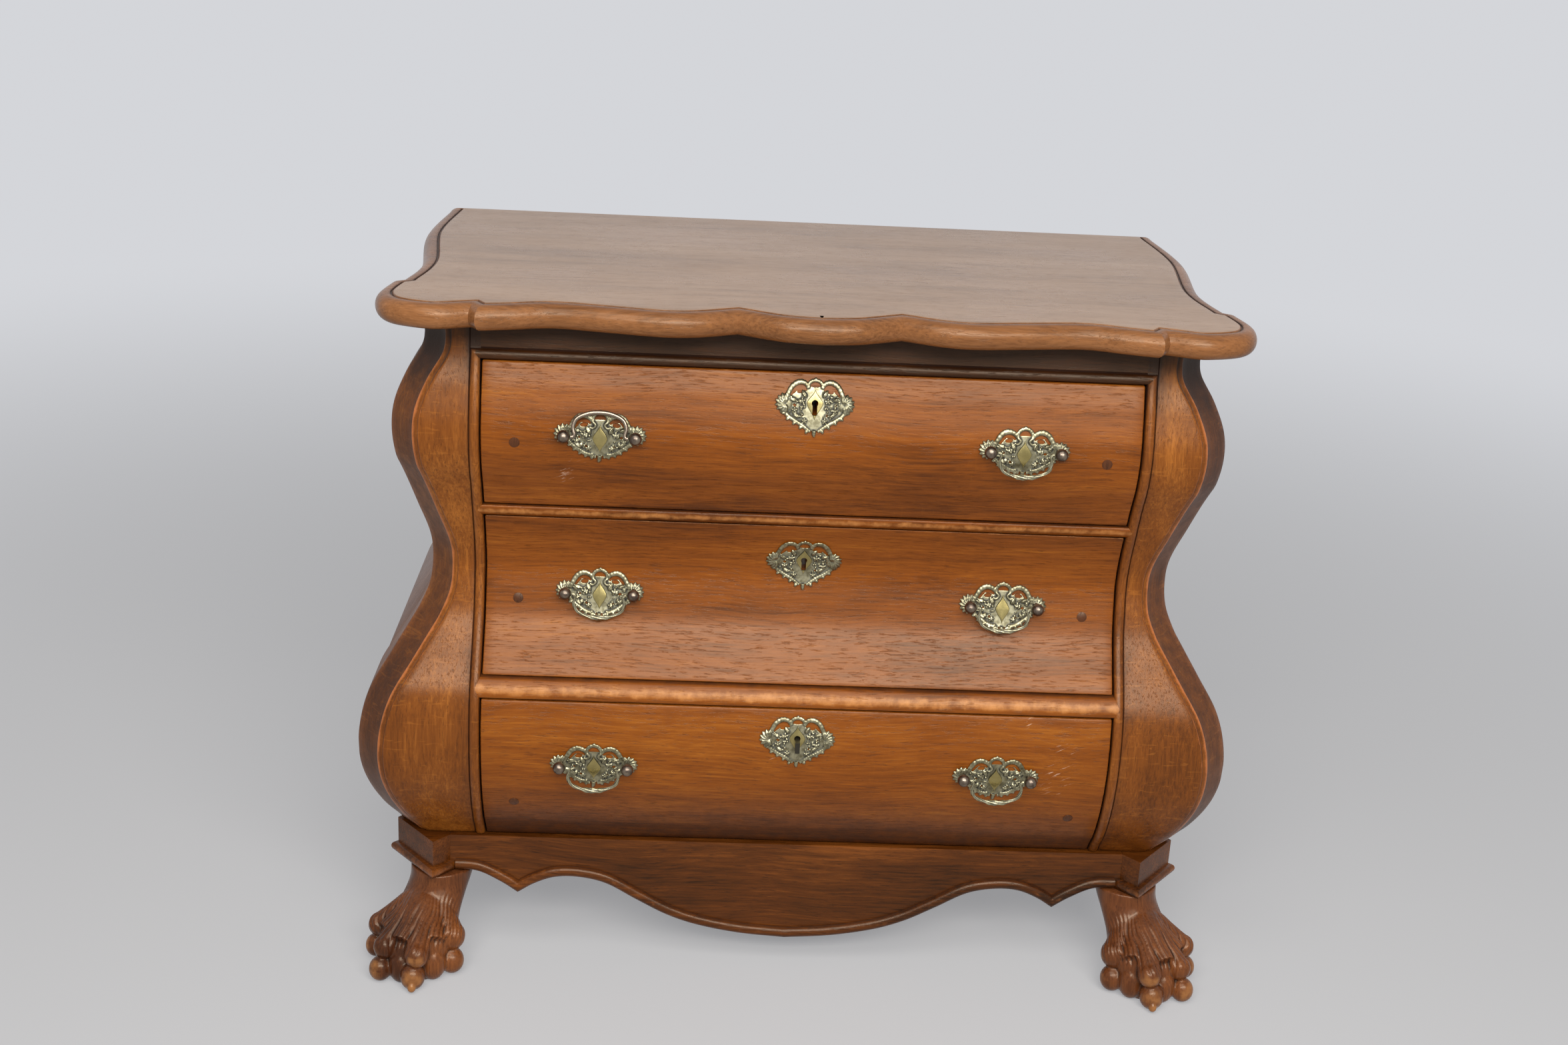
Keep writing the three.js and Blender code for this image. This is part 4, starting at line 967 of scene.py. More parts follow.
def makePlinth():
    levels = mouldedLevels()
    rings = [blockRing(z, proud) for z, proud in levels]
    values = [min(proud / plinth["blockProud"], 1) for _, proud in levels]
    count = len(rings[0])
    worn = [[0.35 * v ** 4 + (0.2 if k in (1, 2) else 0) for k in range(count)] for v in values]
    grimy = [[0.75 * (1 - v) if 0.05 < v < 0.9 else 0.12] * count for v in values]
    finishedPair(loftOf("cornerBlockRightPiece", rings, worn, grimy, angle=30), "oakApron", "corner_block")

    inside = plinth["sideX"] - plinth["sideThick"]
    outline = [(plinth["sideX"] + proud, z) for z, proud in levels]
    outline += [(inside, case["plinthTop"]), (inside, case["ankleTop"])]
    start = case["seat"] - plinth["front"] + plinth["blockBack"]
    rings = [[(x, y, z) for x, z in outline] for y in (start, case["caseBack"])]
    worn, grimy = [0.3 * v ** 4 for v in values] + [0, 0], [0.6 * (1 - v) for v in values] + [0.4, 0.4]
    finishedPair(loftOf("plinthSideRightPiece", rings, worn, grimy, angle=30), "oakApron", "plinth_side")


makeApron()
makePlinth()
print("chest: plinth made")

# Paw feet: toes as (x, y, z, radius) from the middle of the front right paw; the rear paws are turned
paw = {
    "front": {"spot": (438, -200), "ankle": (-25, 52), "turn": 0},
    "rear": {"spot": (420, 202.5), "ankle": (2, -8.5), "turn": 68},
    "radii": [(0, 36), (0.1, 41.5), (0.28, 45), (0.42, 44.5), (0.56, 39.5), (0.72, 36.3), (0.86, 36), (1, 38)],
    "ways": [(0, 0), (0.12, 0), (0.28, 0.02), (0.42, 0.1), (0.56, 0.36), (0.72, 0.68), (0.86, 0.9), (1, 1)],
    "toes": [
        {"knuckle": (46, 14, 46, 13.5), "ball": (50.5, 15, 17, 13)},
        {"knuckle": (33, -29, 42, 13.5), "ball": (38, -34, 15.5, 13.5)},
        {"knuckle": (-6, -47, 42, 14.5), "ball": (-2, -50, 15.5, 14.5)},
        {"knuckle": (-42, -9, 47, 16.5), "ball": (-43, -15, 17.5, 14.5)},
    ],
    "webs": [(32, -7, 21), (13, -32, 19), (-22, -27, 21)], "webSize": (16, 16, 22),
    "claw": (-2.5, -63, 8.5, 5.2), "ridge": -80, "ridgeRise": 4.5,
    "voxel": 1.2, "hair": 46, "hairDepth": 1.9, "hairAim": -48, "hairFoot": (36, 54), "hairTop": (72, 94),
}


def ballAt(place, size):
    clearSelection()
    bpy.ops.mesh.primitive_ico_sphere_add(subdivisions=4, radius=mm, location=[c * mm for c in place])
    ball = bpy.context.active_object
    ball.scale = size
    applyPlace()
    return ball


def pawCore(ankle, ridge, height):
    rings = []
    for s in between(0, 1, 26):
        r, way = smoothLine(paw["radii"], s), smoothLine(paw["ways"], s)
        ring = []
        for k in range(48):
            angle = 2 * math.pi * k / 48
            off = (angle / deg - ridge + 180) % 360 - 180
            grown = r + paw["ridgeRise"] * math.exp(-(off / 20) ** 2) * max(s - 0.5, 0)
            x, y = ankle[0] * way + grown * math.cos(angle), ankle[1] * way + grown * math.sin(angle)
            ring.append((x, y, height * s))
        rings.append(ring)
    return loftOf("core", rings)


# A broad sinew that leaves the leg softly and ends on a knuckle
def pawTendon(end, width, ankle):
    leg = Vector((ankle[0] * 0.62, ankle[1] * 0.62, 86))
    start = leg.lerp(Vector((end.x, end.y, 90)), 0.16)
    middle = start.lerp(end, 0.56) - Vector((end.x, end.y, 0)).normalized() * 3.5
    cord = curveThrough([start, middle, end], 12)
    wide = []
    for t in between(0, 1, 12):
        swell = (18 - width) * math.sin(min(2 * t, 1) * math.pi / 2)
        wide.append(width + swell * (1 - t) - 4 * (1 - t) ** 3)
    return loftOf("tendon", tubeRings(cord, wide, 20))


def pawToe(toe, ankle, turned):
    knuckle, ball = (Vector(turned(toe[key][:3])) for key in ("knuckle", "ball"))
    high, low = toe["knuckle"][3], toe["ball"][3]
    return [ballAt(knuckle, (high, high, high * 1.08)), ballAt(ball, (low, low, low * 1.12)),
            pawTendon(knuckle, high - 0.5, ankle)]


def makePaw(name, end):
    height = case["ankleTop"] - case["seat"]
    ankle, turn = end["ankle"], end["turn"] * deg

    def turned(p):
        x, y = p[0], p[1]
        return (x * math.cos(turn) - y * math.sin(turn), x * math.sin(turn) + y * math.cos(turn), p[2])

    parts = [pawCore(ankle, paw["ridge"] + end["turn"], height)]
    for toe in paw["toes"]:
        parts += pawToe(toe, ankle, turned)
    for x, y, z in paw["webs"]:
        parts.append(ballAt(turned((x, y, z)), paw["webSize"]))
        parts.append(pawTendon(Vector(turned((x, y, 48))), 15, ankle))
    x, y, z, size = paw["claw"]
    parts.append(ballAt(turned((x, y, z)), (size, size, size * 1.2)))
    foot = joined(name, parts)
    addModifier(foot, "REMESH", mode="VOXEL", voxel_size=paw["voxel"] * mm)
    addModifier(foot, "SMOOTH", factor=0.5, iterations=9)
    applyAll(foot)

    # hair in strands on the leg, and toes rubbed bare at their tips
    mesh = foot.data
    points, normals = arrayOf(mesh.vertices, "co"), arrayOf(mesh.vertex_normals, "vector")
    z = points[:, 2] / mm
    way = np.array([smoothLine(paw["ways"], min(max(v / height, 0), 1)) for v in z])
    around = np.arctan2(points[:, 1] / mm - ankle[1] * way, points[:, 0] / mm - ankle[0] * way)
    wobble = np.array([noise.noise(Vector((p[0] * 38, p[1] * 38, p[2] * 16))) for p in points])
    strands = np.abs(np.sin((around * paw["hair"] + wobble * 8) / 2)) ** 0.7
    (low, lowFull), (highFull, high) = paw["hairFoot"], paw["hairTop"]
    zone = np.clip((z - low) / (lowFull - low), 0, 1) * np.clip((high - z) / (high - highFull), 0, 1)
    zone *= np.clip(0.75 + np.cos(around - (paw["hairAim"] + end["turn"]) * deg), 0, 1)
    points -= normals * (zone * (1 - strands) * paw["hairDepth"] * mm)[:, None]
    points[:, 2] = np.clip(points[:, 2], 0, height * mm)
    mesh.vertices.foreach_set("co", points.ravel())
    mesh.update()
    smoothShade(foot, 70)
    markRelief(foot, 8, 0.9)
    worn = arrayOf(mesh.attributes["worn"].data, "value", 1)[:, 0]
    far = np.hypot(points[:, 0], points[:, 1]) / mm
    rubbed = 0.55 * np.clip((56 - z) / 12, 0, 1) * np.clip((far - 50) / 12, 0, 1)
    setMark(foot, "worn", np.clip(worn * 0.3 + rubbed, 0, 1))
    return foot


def makeFeet():
    for end in ("front", "rear"):
        spot = np.array([*paw[end]["spot"], 0]) * mm
        right = makePaw(end + "FootRightPiece", paw[end])
        movePoints(right, lambda points, spot=spot: points + spot)
        finishedPair(right, "oakFoot", end + "_foot")


makeFeet()
print("chest: feet made")


def cutKeyhole(obj, drawer, depth):
    y, z = frontAt(drawer["key"]), drawer["key"]
    clearSelection()
    bpy.ops.mesh.primitive_cylinder_add(vertices=32, radius=drawerLook["keyRadius"] * mm, depth=depth * mm,
                                        location=(0, y * mm, z * mm), rotation=(90 * deg, 0, 0))
    eye = bpy.context.active_object
    applyPlace()
    wide, half = drawerLook["keySlot"] / 2, depth * 0.495
    slot = boxAt((-wide, y - half, z - drawerLook["keyLength"]), (wide, y + half, z))
    cutWith(obj, [eye, slot])


def makeDrawerFront(name, drawer):
    low, high = drawer["low"] + drawerLook["gap"], drawer["high"] - drawerLook["gap"]
    half, edge = case["openingHalf"] - drawerLook["gap"], drawerLook["edge"]

    def outlineAt(inset):
        def corner(end, way, angles):
            for angle in angles:
                z = end + way * (inset + (edge - inset) * (1 - math.cos(angle * deg)))
                yield frontAt(z) + edge * (1 - math.sin(angle * deg)) + inset, z

        line = [(drawer["inner"], low + min(inset, 0.6)), (frontAt(low) + edge + inset, low + inset)]
        line += corner(low, 1, (30, 60))
        line += [(frontAt(z) + inset, z) for z in between(low + edge, high - edge, 60)]
        line += corner(high, -1, (60, 30))
        return line + [(frontAt(high) + edge + inset, high - inset), (drawer["inner"], high - min(inset, 0.6))]

    rings, worn, grimy = [], [], []
    stops = [(-half, edge), (-half + 0.3, edge * 0.6), (-half + edge * 0.45, edge * 0.2), (-half + edge, 0),
             (-half + 14, 0)]
    for x, inset in stops + [(-x, inset) for x, inset in reversed(stops)]:
        line = outlineAt(inset)
        last = len(line) - 1
        rim = 0.4 if 0.3 < inset < 1.5 else 0.0
        # The last 15 mm at each end are darker, and the bottom drawer has painted shade rising from its lower
        # edge
        border = drawerLook["endDarkening"] if abs(x) > half - 15 else 0.0
        rings.append([(x, y, z) for y, z in line])
        worn.append([0.4 if k in (2, 3, last - 3, last - 2) else rim for k in range(last + 1)])
        grimy.append([border + drawer["grime"] * max(1 - (z - low) / drawerLook["shadeReach"], 0)
                      for _, z in line])
    front = loftOf(name, rings, worn, grimy, angle=26)
    cutKeyhole(front, drawer, 130)
    return front


def makePlugs(name, height):
    lean = math.atan2(frontAt(height + 1) - frontAt(height - 1), 2)
    y, plugs = frontAt(height) + 2.6, []
    for side in (-1, 1):
        clearSelection()
        bpy.ops.mesh.primitive_cylinder_add(vertices=28, radius=drawerLook["plugRadius"] * mm, depth=6 * mm,
                                            location=(side * drawerLook["plugX"] * mm, y * mm, height * mm),
                                            rotation=(90 * deg - lean, 0, 0))
        plug = bpy.context.active_object
        applyPlace()
        addModifier(plug, "BEVEL", width=0.35 * mm, segments=2)
        applyAll(plug)
        plugs.append(plug)
    plugs = joined(name, plugs)
    smoothShade(plugs)
    return plugs


for key, drawer in drawerSets.items():
    title, body = key.capitalize(), "drawer_" + key
    front = makeDrawerFront("drawer" + title + "FrontPiece", drawer)
    finished(front, "oakFront", body, body + "_front")
    finished(makePlugs("drawer" + title + "Plugs", drawer["plug"]), "oakDark", body)
print("chest: drawer fronts made")

# Boards and locks inside, with eased edges, each as its node, look and body
innerBoards = [(node, "innerOak", "case") for node in ("bottom_board", "dust_board_upper", "dust_board_lower")]
for key in drawerSets:
    body = "drawer_" + key
    innerBoards += [
        (body + "_side_left", "innerDeep", body), (body + "_side_right", "innerDeep", body),
        (body + "_back", "innerOak", body), (body + "_bottom", "innerOak", body),
        ("lock_case_" + key, "iron", body), ("lock_bolt_" + key, "iron", "bolt_" + key),
    ]
easeLook = {"innerOak": 0.8, "innerDeep": 0.8, "iron": 0.5}


def easedCopy(node, look, body):
    first, *others = node.split("_")
    copy = copyOf(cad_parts[node], first + "".join(word.capitalize() for word in others) + "Piece")
    copy.parent = None
    copy.matrix_world = Matrix.Identity(4)
    copy.hide_render = copy.hide_viewport = False
    editAll(copy, weld, lambda: bpy.ops.mesh.dissolve_limited(angle_limit=1 * deg))
    addModifier(copy, "BEVEL", width=easeLook[look] * mm, segments=2, limit_method="ANGLE",
                angle_limit=30 * deg)
    applyAll(copy)
    smoothShade(copy)
    finished(copy, look, body, node)


for row in innerBoards:
    easedCopy(*row)
print("chest: inner boards and locks made")

# Brass plates in flat plate space: x right, z up, raised towards -Y; then bent to the drawer's front
plateLook = {"thick": 1.1, "voxel": 0.5, "clear": 0.2, "handleX": 230.6}


# Sized, leaned about Y and put in its place, in plate space
def placeRelief(obj, size, lean, place):
    turn = np.array(Matrix.Rotation(-lean * deg, 3, "Y"))
    movePoints(obj, lambda points: (points * size) @ turn.T + np.array(place) * mm)


def flatPlate(outline, thick, holes):
    clearSelection()
    bpy.ops.mesh.primitive_circle_add(vertices=len(outline), radius=1, fill_type="NGON")
    obj = bpy.context.active_object
    obj.data.vertices.foreach_set("co", np.array([(x * mm, 0.0, z * mm) for x, z in outline]).ravel())
    obj.data.update()
    thicken = {"value": (0, -thick * mm, 0)}
    editAll(obj, lambda: bpy.ops.mesh.extrude_region_move(TRANSFORM_OT_translate=thicken), turnOutwards)
    cutters = []
    for x, z, wide, high, lean in holes:
        clearSelection()
        bpy.ops.mesh.primitive_cylinder_add(vertices=20, radius=mm, depth=12 * mm, rotation=(90 * deg, 0, 0))
        cutter = bpy.context.active_object
        applyPlace()
        placeRelief(cutter, (wide / 2, 1, high / 2), lean, (x, 0, z))
        cutters.append(cutter)
    cutWith(obj, cutters)
    return obj


# A rounded line of relief; ridges run across it, as cast gadrooning has, and ribs along it
def stroke(line, widths, lift=1.5, count=60, flat=0.62, ridges=11, ribs=0, depth=0.0):
    path = [Vector((p.x, -lift, p.y)) for p in curveThrough(line, count)]
    last, spots = len(path) - 1, range(len(widths))
    radii = []
    for i in range(last + 1):
        wide = float(np.interp(spots[-1] * i / last, spots, widths))
        radii.append(wide * (0.86 + 0.14 * abs(math.sin(math.pi * ridges * i / last))) if ridges else wide)
    return loftOf("stroke", tubeRings(path, radii, 14, flat, ribs, depth))


def bump(x, z, wide, high, lift, lean=0.0, level=1.0):
    clearSelection()
    bpy.ops.mesh.primitive_ico_sphere_add(subdivisions=3, radius=mm)
    obj = bpy.context.active_object
    placeRelief(obj, (wide / 2, lift, high / 2), lean, (x, -level, z))
    return obj


# Petals round a heart, as cast flowers have
def flower(x, z, size, petals=5, lift=1.5):
    parts = [bump(x, z, size * 0.42, size * 0.42, lift * 1.25, level=1.6)]
    for k in range(petals):
        angle = 360 * k / petals + 90
        px, pz = x + size * 0.33 * math.cos(angle * deg), z + size * 0.33 * math.sin(angle * deg)
        parts.append(bump(px, pz, size * 0.44, size * 0.3, lift * 0.8, angle, 1.4))
    return parts


def leaf(x, z, long, wide, lean, lift=1.3):
    along = Vector((math.cos(lean * deg), math.sin(lean * deg)))
    over = Vector((-along.y, along.x))
    start = Vector((x, z))
    line = [start, start + along * long * 0.5 + over * wide * 0.15, start + along * long]
    return stroke(line, [wide * 0.18, wide * 0.5, wide * 0.42, wide * 0.1], lift, 12, 1.0, 0, 5, 0.16)


def fanShell(x, z, radius, aim, spread, count):
    return [leaf(x, z, radius, radius * 0.52, aim + spread * (k / (count - 1) - 0.5)) for k in range(count)]


def ogee(wide, high, low):
    steps = between(0, 1, 16)
    right = [(wide * math.sin(math.pi / 2 * t) ** 1.5, high * (1 - t) ** 1.25) for t in steps]
    right += [(wide * max(math.cos(math.pi / 2 * t), 0) ** 1.5, -low * t ** 1.15) for t in steps[1:]]
    return right + [(-x, z) for x, z in reversed(right[1:-1])]


# Steps of a smooth shield from its rim to its middle, as (share of its size, rise, darkening at the rim as
# patina, dirt and painted shade)
shieldSteps = ((1.0, 0.2, 1), (1.0, 0.72, 1), (0.985, 0.9, 0.5), (0.955, 1.0, 0), (0.91, 1.02, 0),
               (0.8, 1.06, 0), (0.6, 1.1, 0), (0.4, 1.13, 0), (0.2, 1.145, 0), (0.03, 1.15, 0))


def lozenge(name, wide, high, low, lift):
    outline = ogee(wide, high, low)
    rings = [[(x * size, -rise * lift, z * size) for x, z in outline] for size, rise, _ in shieldSteps]
    return loftOf(name, rings, grimy=[[rimDarkening] * len(outline) for _, _, rimDarkening in shieldSteps], angle=50)


def fused(name, parts):
    obj = joined(name, parts)
    addModifier(obj, "REMESH", mode="VOXEL", voxel_size=plateLook["voxel"] * mm)
    addModifier(obj, "SMOOTH", factor=0.5, iterations=2)
    applyAll(obj)
    movePoints(obj, lambda points: np.minimum(points, (np.inf, -0.05 * mm, np.inf)))
    smoothShade(obj, 60)
    return obj


def onFront(obj, x, z):
    def bent(points):
        lines = np.array([frontAt(v / mm + z) for v in points[:, 2]]) - plateLook["clear"]
        return points + np.column_stack([np.full_like(lines, x), lines, np.full_like(lines, z)]) * mm

    movePoints(obj, bent)


def scatterLeaves(rng, side, across, up, count, foot, slope):
    parts = []
    for _ in range(count):
        x, z = rng.uniform(*across), rng.uniform(*up)
        if z < foot + slope * x:
            z = foot + slope * x + rng.uniform(0, 3)
        size = rng.uniform(2.0, 3.4)
        high, lean = size * rng.uniform(0.6, 1.0), rng.uniform(0, 180)
        parts.append(bump(side * x, z, size, high, size * 0.6, lean, 1.3))
    return parts


# Relief of the plates, given for the right half: strokes, then a shell with its fans of leaves
# (x, z, reach, aim, spread, count), flowers (x, z, size), leaves (x, z, long, wide, aim),
# small leaves scattered above a slope, leaf tips along the lower edge (x, z, aim) and studs
handleArt = {
    "seed": 7,
    "field": [(0, 20), (8, 20), (11, 15), (15, 17), (21, 17), (27, 10), (33, 6), (33, -4), (26, -12),
              (18, -16.5), (12, -19), (6, -20), (0, -21)],
    "holes": [(17.5, 14.5, 8.5, 4.6, -8), (23, 1, 3.6, 2.6, 20), (15, -9.5, 3.2, 2.2, 40),
              (3.4, 22, 3.6, 3.4, 0)],
    "strokes": [
        {"line": [(8, 18), (12, 22.5), (19, 24.5), (26, 21), (31, 13), (34, 7)],
         "widths": [2.0, 2.8, 3.3, 3.2, 2.9, 2.2]},
        {"line": [(8, 18), (5, 14.5), (8, 11), (11.5, 12.5)], "widths": [1.7, 1.6, 1.4, 1.5], "lift": 1.7,
         "count": 18, "flat": 1.0, "ridges": 0},
        {"line": [(34, -3), (30, -8.5), (23, -13.5), (17, -17.5), (10, -20), (4, -22.5)],
         "widths": [1.8, 2.3, 2.4, 2.4, 2.2, 1.4], "ridges": 14},
        {"line": [(8, 18.5), (7.5, 23.5), (4, 27), (0, 28)], "widths": [1.8, 2.2, 2.3, 2.2], "ridges": 5,
         "count": 30},
    ],
    "shell": (40, 4, 18), "fans": [(39, 4, 11.5, 15, 190, 8), (38, 3, 9, -70, 60, 3)],
    "flowers": [(17, 3.5, 8), (25.5, -3.5, 7), (12.5, -12, 6.5), (27.5, 7, 6)],
    "leaves": [(10, 5, 9.5, 5.4, 60), (19, -5, 8.5, 5, -50), (21, 8, 8.5, 4.8, 15), (20, -10, 8, 4.6, 30)],
    "scatter": ((10.5, 30), (-12, 10), 22, -20, 0.5),
    "tips": [(31, -7, -20), (26, -11.5, -35), (20.5, -15.5, -50), (14.5, -18.5, -60), (8.5, -20.5, -75)],
    "studs": [(8.5, -18.5, 4, 3.4, 2.0, 20)],
    "drop": ([(0, -20), (-0.5, -25), (-1.5, -28.2)], [2.6, 2.4, 1.0]), "crown": (0, 29, 4, 4, 1.8),
}
escutcheonArt = {
    "seed": 19,
    "field": [(0, 16), (7, 17), (10, 12), (14, 14), (20, 12), (27, 6), (32, 2), (32, -7), (27, -13), (20, -18),
              (13, -22), (6, -27), (0, -31)],
    "holes": [(16, 12, 8, 4.4, -12), (22, -3, 3.6, 2.4, 30), (13.5, -13, 3.2, 2.2, 50)],
    "strokes": [
        {"line": [(7.5, 15), (11, 20.5), (18, 21.5), (25, 17), (29.5, 9), (32, 3)],
         "widths": [1.9, 2.7, 3.1, 3.0, 2.7, 2.1]},
        {"line": [(34, -5), (31, -12), (24, -17.5), (17, -21.5), (10, -26), (4, -30.5)],
         "widths": [1.7, 2.2, 2.3, 2.3, 2.1, 1.4], "ridges": 14},
        {"line": [(7.5, 15.5), (7, 20), (3.8, 22.8), (0, 23.6)], "widths": [1.8, 2.1, 2.2, 2.0], "ridges": 5,
         "count": 30},
    ],
    "shell": (33, -1, 17), "fans": [(32, -1, 11.5, 5, 185, 8)],
    "flowers": [(14, 2, 7.5), (22, -8, 7), (11, -19, 6.5), (26, 4, 6)],
    "leaves": [(9, 6, 9, 5, 55), (20, 3, 8, 4.6, 10), (16, -15, 8, 4.6, 30)],
    "scatter": ((10, 27), (-17, 8), 22, -27, 0.6),
    "tips": [(32, -10, -15), (27.5, -15.5, -35), (21, -19.5, -50), (14, -24, -55), (7.5, -28.5, -60)],
    "studs": [],
    "drop": ([(0, -29), (0, -33), (0.6, -36)], [2.5, 2.2, 0.9]), "crown": (0, 24.6, 3.6, 3.8, 1.8),
}


def makePlate(name, art):
    rng = random.Random(art["seed"])
    outline = art["field"] + [(-x, z) for x, z in reversed(art["field"][1:-1])]
    holes = art["holes"] + [(-x, z, wide, high, -lean) for x, z, wide, high, lean in art["holes"]]
    parts = [flatPlate(outline, plateLook["thick"], holes)]
    for side in (-1, 1):
        def aimed(angle, side=side):
            return angle if side > 0 else 180 - angle

        for row in art["strokes"]:
            parts.append(stroke(**{**row, "line": [(side * x, z) for x, z in row["line"]]}))
        x, z, size = art["shell"]
        parts.append(bump(side * x, z, size, size, 1.7))
        for x, z, reach, aim, spread, count in art["fans"]:
            parts += fanShell(side * x, z, reach, aimed(aim), spread, count)
        for x, z, size in art["flowers"]:
            parts += flower(side * x, z, size)
        for x, z, long, wide, aim in art["leaves"]:
            parts.append(leaf(side * x, z, long, wide, aimed(aim)))
        parts += scatterLeaves(rng, side, *art["scatter"])
        for x, z, aim in art["tips"]:
            parts.append(leaf(side * x, z, 4.6, 4.2, aimed(aim), 1.2))
        for x, *others in art["studs"]:
            parts.append(bump(side * x, *others))
    parts.append(stroke(*art["drop"], lift=1.6, count=12, flat=1.0, ridges=0))
    parts.append(bump(*art["crown"]))
    plate = fused(name, parts)
    markRelief(plate, 6, 0.3)
    return plate


# Posts and bails: shares are points down half a bail, and knots are (place, size, spread) along it
handleLook = {
    "half": 38.5, "rise": 5, "reach": 16, "ball": 7.1, "root": 4.6, "taper": 1.6, "collar": 0.8,
    "drop": 27, "gap": 2.3, "shares": [(1, 0), (0.93, 0.1), (0.98, 0.4), (0.84, 0.74), (0.42, 0.95), (0, 1)],
    "knots": [(0, 1.05, 0.05), (0.13, 0.49, 0.035)],
}
bails = {
    "top_left": {"angle": 196, "plain": True}, "top_right": {"angle": 0}, "middle_left": {"angle": 6},
    "middle_right": {"angle": 6}, "bottom_left": {"angle": 0}, "bottom_right": {"angle": 0},
}


def makeHandlePosts(name, x, z):
    face, axisY = frontAt(z) - 1.2, frontAt(z) - handleLook["reach"]
    parts = []
    for side in (-1, 1):
        px = x + side * handleLook["half"]
        rings = []
        for t in between(0, 1, 16):
            collar = handleLook["collar"] * math.exp(-((t - 0.42) / 0.07) ** 2)
            r = handleLook["root"] - handleLook["taper"] * min(t * 3.2, 1) + collar
            turns = [2 * math.pi * k / 20 for k in range(20)]
            y = face - (face - axisY) * t
            rings.append([(px + r * math.cos(turn), y, z + r * math.sin(turn)) for turn in turns])
        parts += [loftOf("stem", rings), ballAt((px, axisY, z), (handleLook["ball"],) * 3)]
    posts = joined(name, parts)
    smoothShade(posts, 50)
    return posts


def makeBail(name, x, z, angle, plain):
    reach = handleLook["half"] - handleLook["ball"] - handleLook["gap"]
    half = [(a * reach, -d * handleLook["drop"]) for a, d in handleLook["shares"]]
    line = curveThrough(half + [(-a, d) for a, d in reversed(half[:-1])], 90)
    path = [Vector((p.x, 0, p.y)) for p in line]
    path = [path[0] + Vector((1.5, 0, 0))] + path + [path[-1] - Vector((1.5, 0, 0))]
    radii = []
    for i in range(len(path)):
        t = abs(2 * i / (len(path) - 1) - 1)  # 0 in the middle, 1 at the ends
        if plain:
            radii.append(1.9 + 0.8 * (1 - t) + (0.3 if t > 0.93 else 0))
        else:
            knot = sum(size * math.exp(-((t - at) / spread) ** 2) for at, size, spread in handleLook["knots"])
            leafy = 0.55 * max(math.sin(t * 16), 0) * (1 - t)
            radii.append(1.35 + 0.5 * (1 - t) + knot + leafy)
    ribs = (0, 0.0, 0.0) if plain else (4, 0.2, 0.55)
    bail = loftOf(name, tubeRings(path, radii, 20, 1.0, *ribs), angle=60)
    place = np.array([x, frontAt(z) - handleLook["reach"], z]) * mm
    turn = np.array(Matrix.Rotation(-angle * deg, 3, "X"))
    movePoints(bail, lambda points: points @ turn.T + place)
    markRelief(bail, 4, 0.12)
    return bail


handleMaster = makePlate("handleMaster", handleArt)
escutcheonMaster = makePlate("escutcheonMaster", escutcheonArt)
lozengeMaster = lozenge("lozengeMaster", 8.0, 15, 16, 3.1)
shieldMaster = lozenge("shieldMaster", 8.8, 14, 18, 2.7)
print("chest: brass masters made", len(handleMaster.data.polygons), len(escutcheonMaster.data.polygons))


def copyOnFront(master, name, x, z):
    piece = copyOf(master, name)
    onFront(piece, x, z)
    return piece


def makeHandle(key, drawer, sideName, side):
    label, node, body = key.capitalize() + sideName.capitalize(), key + "_" + sideName, "drawer_" + key
    x, z = side * plateLook["handleX"], drawer["handle"]
    plate = copyOnFront(handleMaster, "handlePlate" + label + "Piece", x, z)
    finished(plate, "brass", body, "handle_plate_" + node)
    finished(copyOnFront(lozengeMaster, "lozenge" + label, x, z), "plainBrass", body)
    axisZ = z + handleLook["rise"]
    finished(makeHandlePosts("handlePosts" + label, x, axisZ), "bronze", body)
    plain = bails[node].get("plain", False)
    bail = makeBail("bail" + label + "Piece", x, axisZ, bails[node]["angle"], plain)
    finished(bail, "bronze" if plain else "brass", "bail_" + node, "bail_" + node)


for key, drawer in drawerSets.items():
    title, body = key.capitalize(), "drawer_" + key
    plate = copyOnFront(escutcheonMaster, "escutcheon" + title + "Piece", 0, drawer["key"])
    cutKeyhole(plate, drawer, 30)
    finished(plate, "brass", body, "escutcheon_" + key)
    shield = copyOnFront(shieldMaster, "shield" + title, 0, drawer["key"])
    cutKeyhole(shield, drawer, 30)
    finished(shield, "plainBrass", body)
    makeHandle(key, drawer, "left", -1)
    makeHandle(key, drawer, "right", 1)
for master in (handleMaster, escutcheonMaster, lozengeMaster, shieldMaster):
    bpy.data.objects.remove(master)
print("chest: handles made")

# Floor, light and camera
studio = {
    "floor": (0.47, 0.455, 0.44, 1), "pale": (0.66, 0.67, 0.70, 1), "fill": 0.22, "fade": (0.9, 4.0, 0.42, 1.0),
    "aim": (0, 0, 0.4),
    "key": {"place": (-0.3, -1.8, 3.0), "size": (2.6, 1.3), "power": 46},
    "sheen": {"place": (0.2, -2.6, 2.05), "size": (3.0, 0.7), "power": 94},
    "window": {"place": (0.9, -3.2, 1.35), "size": (1.8, 0.8), "power": 9},
}
shot = {"place": (-0.1172, -2.2646, 1.3047), "yaw": 2.512, "pitch": -19.394, "roll": 2.917, "lens": 45.41}


# Rays that see the pale backdrop
def seenBy(tree):
    path = tree.nodes.new("ShaderNodeLightPath").outputs
    seen = mathNode(tree, "MAXIMUM", path["Is Camera Ray"], path["Is Glossy Ray"])
    return mathNode(tree, "MAXIMUM", seen, path["Is Transmission Ray"])


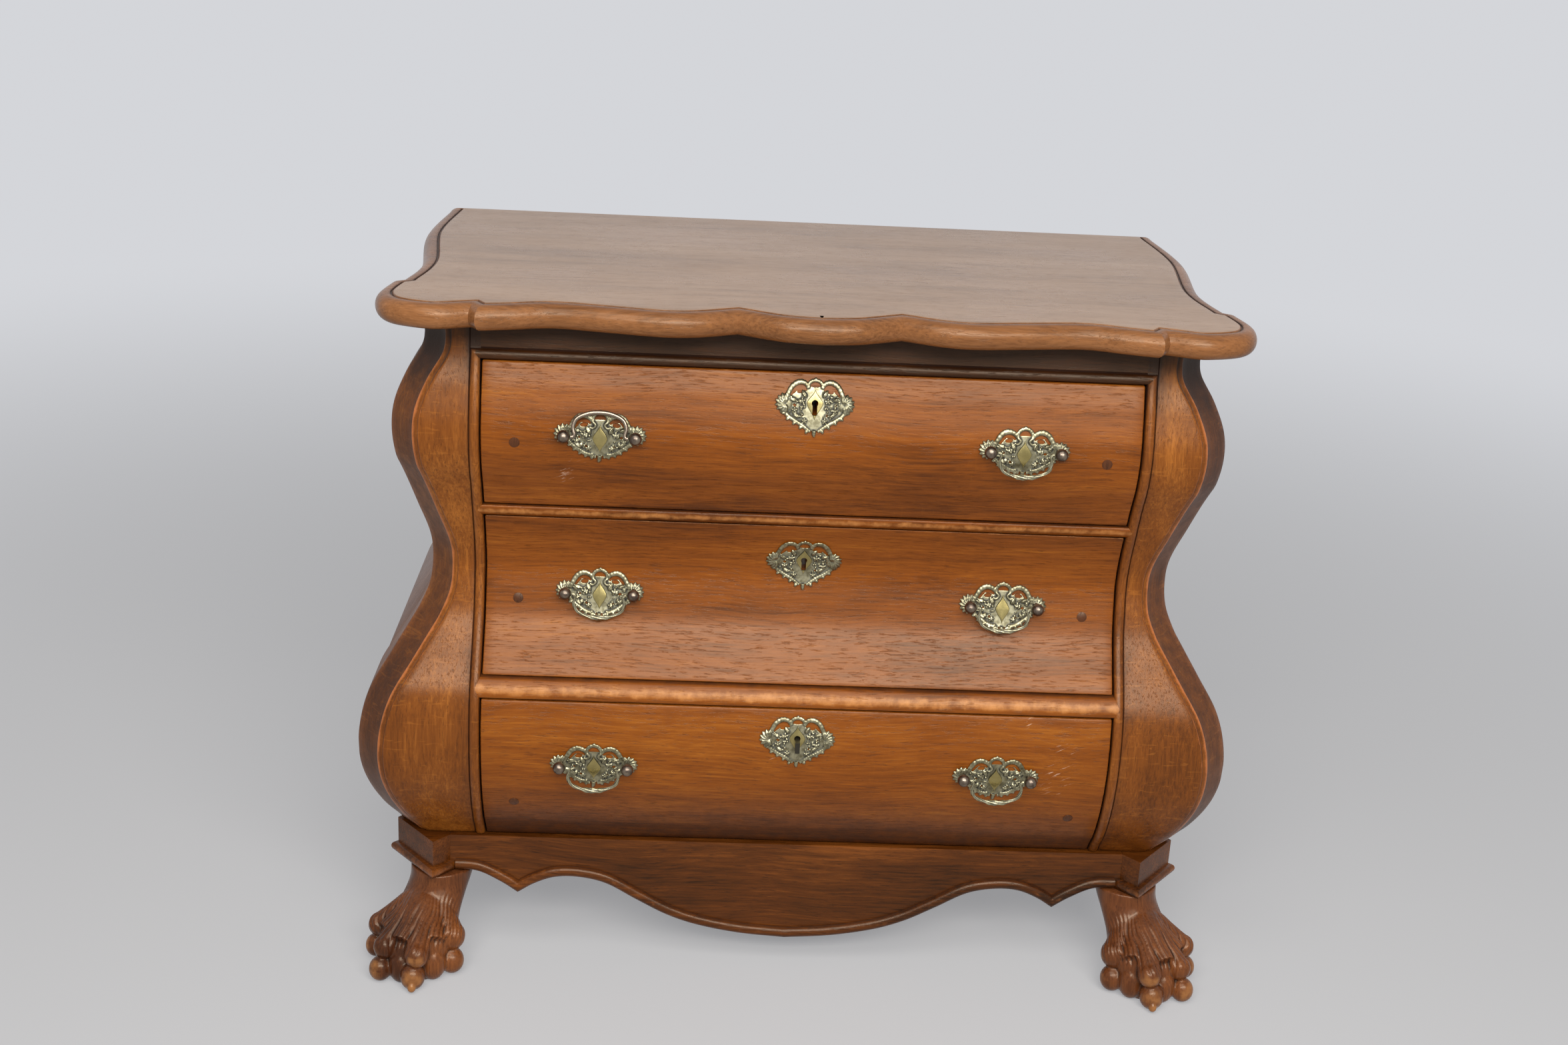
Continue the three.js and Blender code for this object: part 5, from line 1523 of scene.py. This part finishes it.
def makeStudio():
    clearSelection()
    bpy.ops.mesh.primitive_plane_add(size=14)
    floor = bpy.context.active_object
    floor.name = "studioFloor"
    material, tree, shader = startMaterial("studio_floor")
    setInputs(tree, shader, {"Base Color": studio["floor"], "Roughness": 0.75, "Specular IOR Level": 0.2})
    away = vectorNode(tree, "LENGTH", objectPlace(tree))["Value"]
    faded = mathNode(tree, "MULTIPLY", rangeOf(tree, away, *studio["fade"]), seenBy(tree))
    glow = addNode(tree, "Emission", {"Color": studio["pale"], "Strength": 1.0}).outputs[0]
    mix = addNode(tree, "MixShader", {0: faded, 1: shader.outputs[0], 2: glow}).outputs[0]
    tree.links.new(mix, tree.nodes["Material Output"].inputs["Surface"])
    floor.data.materials.append(material)
    world = bpy.data.worlds.new("studioWorld")
    bpy.context.scene.world = world
    world.use_nodes = True
    tree = world.node_tree
    tree.nodes.clear()
    light = addNode(tree, "Background", {"Color": (1, 1, 1, 1), "Strength": studio["fill"]}).outputs[0]
    pale = addNode(tree, "Background", {"Color": studio["pale"], "Strength": 1.0}).outputs[0]
    mix = addNode(tree, "MixShader", {0: seenBy(tree), 1: light, 2: pale}).outputs[0]
    addNode(tree, "OutputWorld", {"Surface": mix})
    for name in ("key", "sheen", "window"):
        lamp = studio[name]
        place = Vector(lamp["place"])
        clearSelection()
        bpy.ops.object.light_add(type="AREA", location=place)
        obj = bpy.context.active_object
        obj.name = name + "Light"
        obj.data.shape = "RECTANGLE"
        obj.data.size, obj.data.size_y = lamp["size"]
        obj.data.energy = lamp["power"]
        obj.rotation_euler = (Vector(studio["aim"]) - place).to_track_quat("-Z", "Y").to_euler()


def makeCamera():
    clearSelection()
    bpy.ops.object.camera_add()
    camera = bpy.context.active_object
    camera.name = "photoCamera"
    yaw, pitch, roll = (shot[key] * deg for key in ("yaw", "pitch", "roll"))
    ahead = Vector((math.sin(yaw) * math.cos(pitch), math.cos(yaw) * math.cos(pitch), math.sin(pitch)))
    right0 = Vector((math.cos(yaw), -math.sin(yaw), 0))
    up0 = right0.cross(ahead)
    right = math.cos(roll) * right0 + math.sin(roll) * up0
    up = -math.sin(roll) * right0 + math.cos(roll) * up0
    turn = Matrix((right, up, -ahead)).transposed().to_4x4()
    camera.matrix_world = Matrix.Translation(shot["place"]) @ turn
    camera.data.sensor_width = 36
    camera.data.sensor_fit = "HORIZONTAL"
    camera.data.lens = shot["lens"]
    bpy.context.scene.camera = camera


makeStudio()
makeCamera()
bpy.context.scene.view_settings.view_transform = "Standard"
clearSelection()
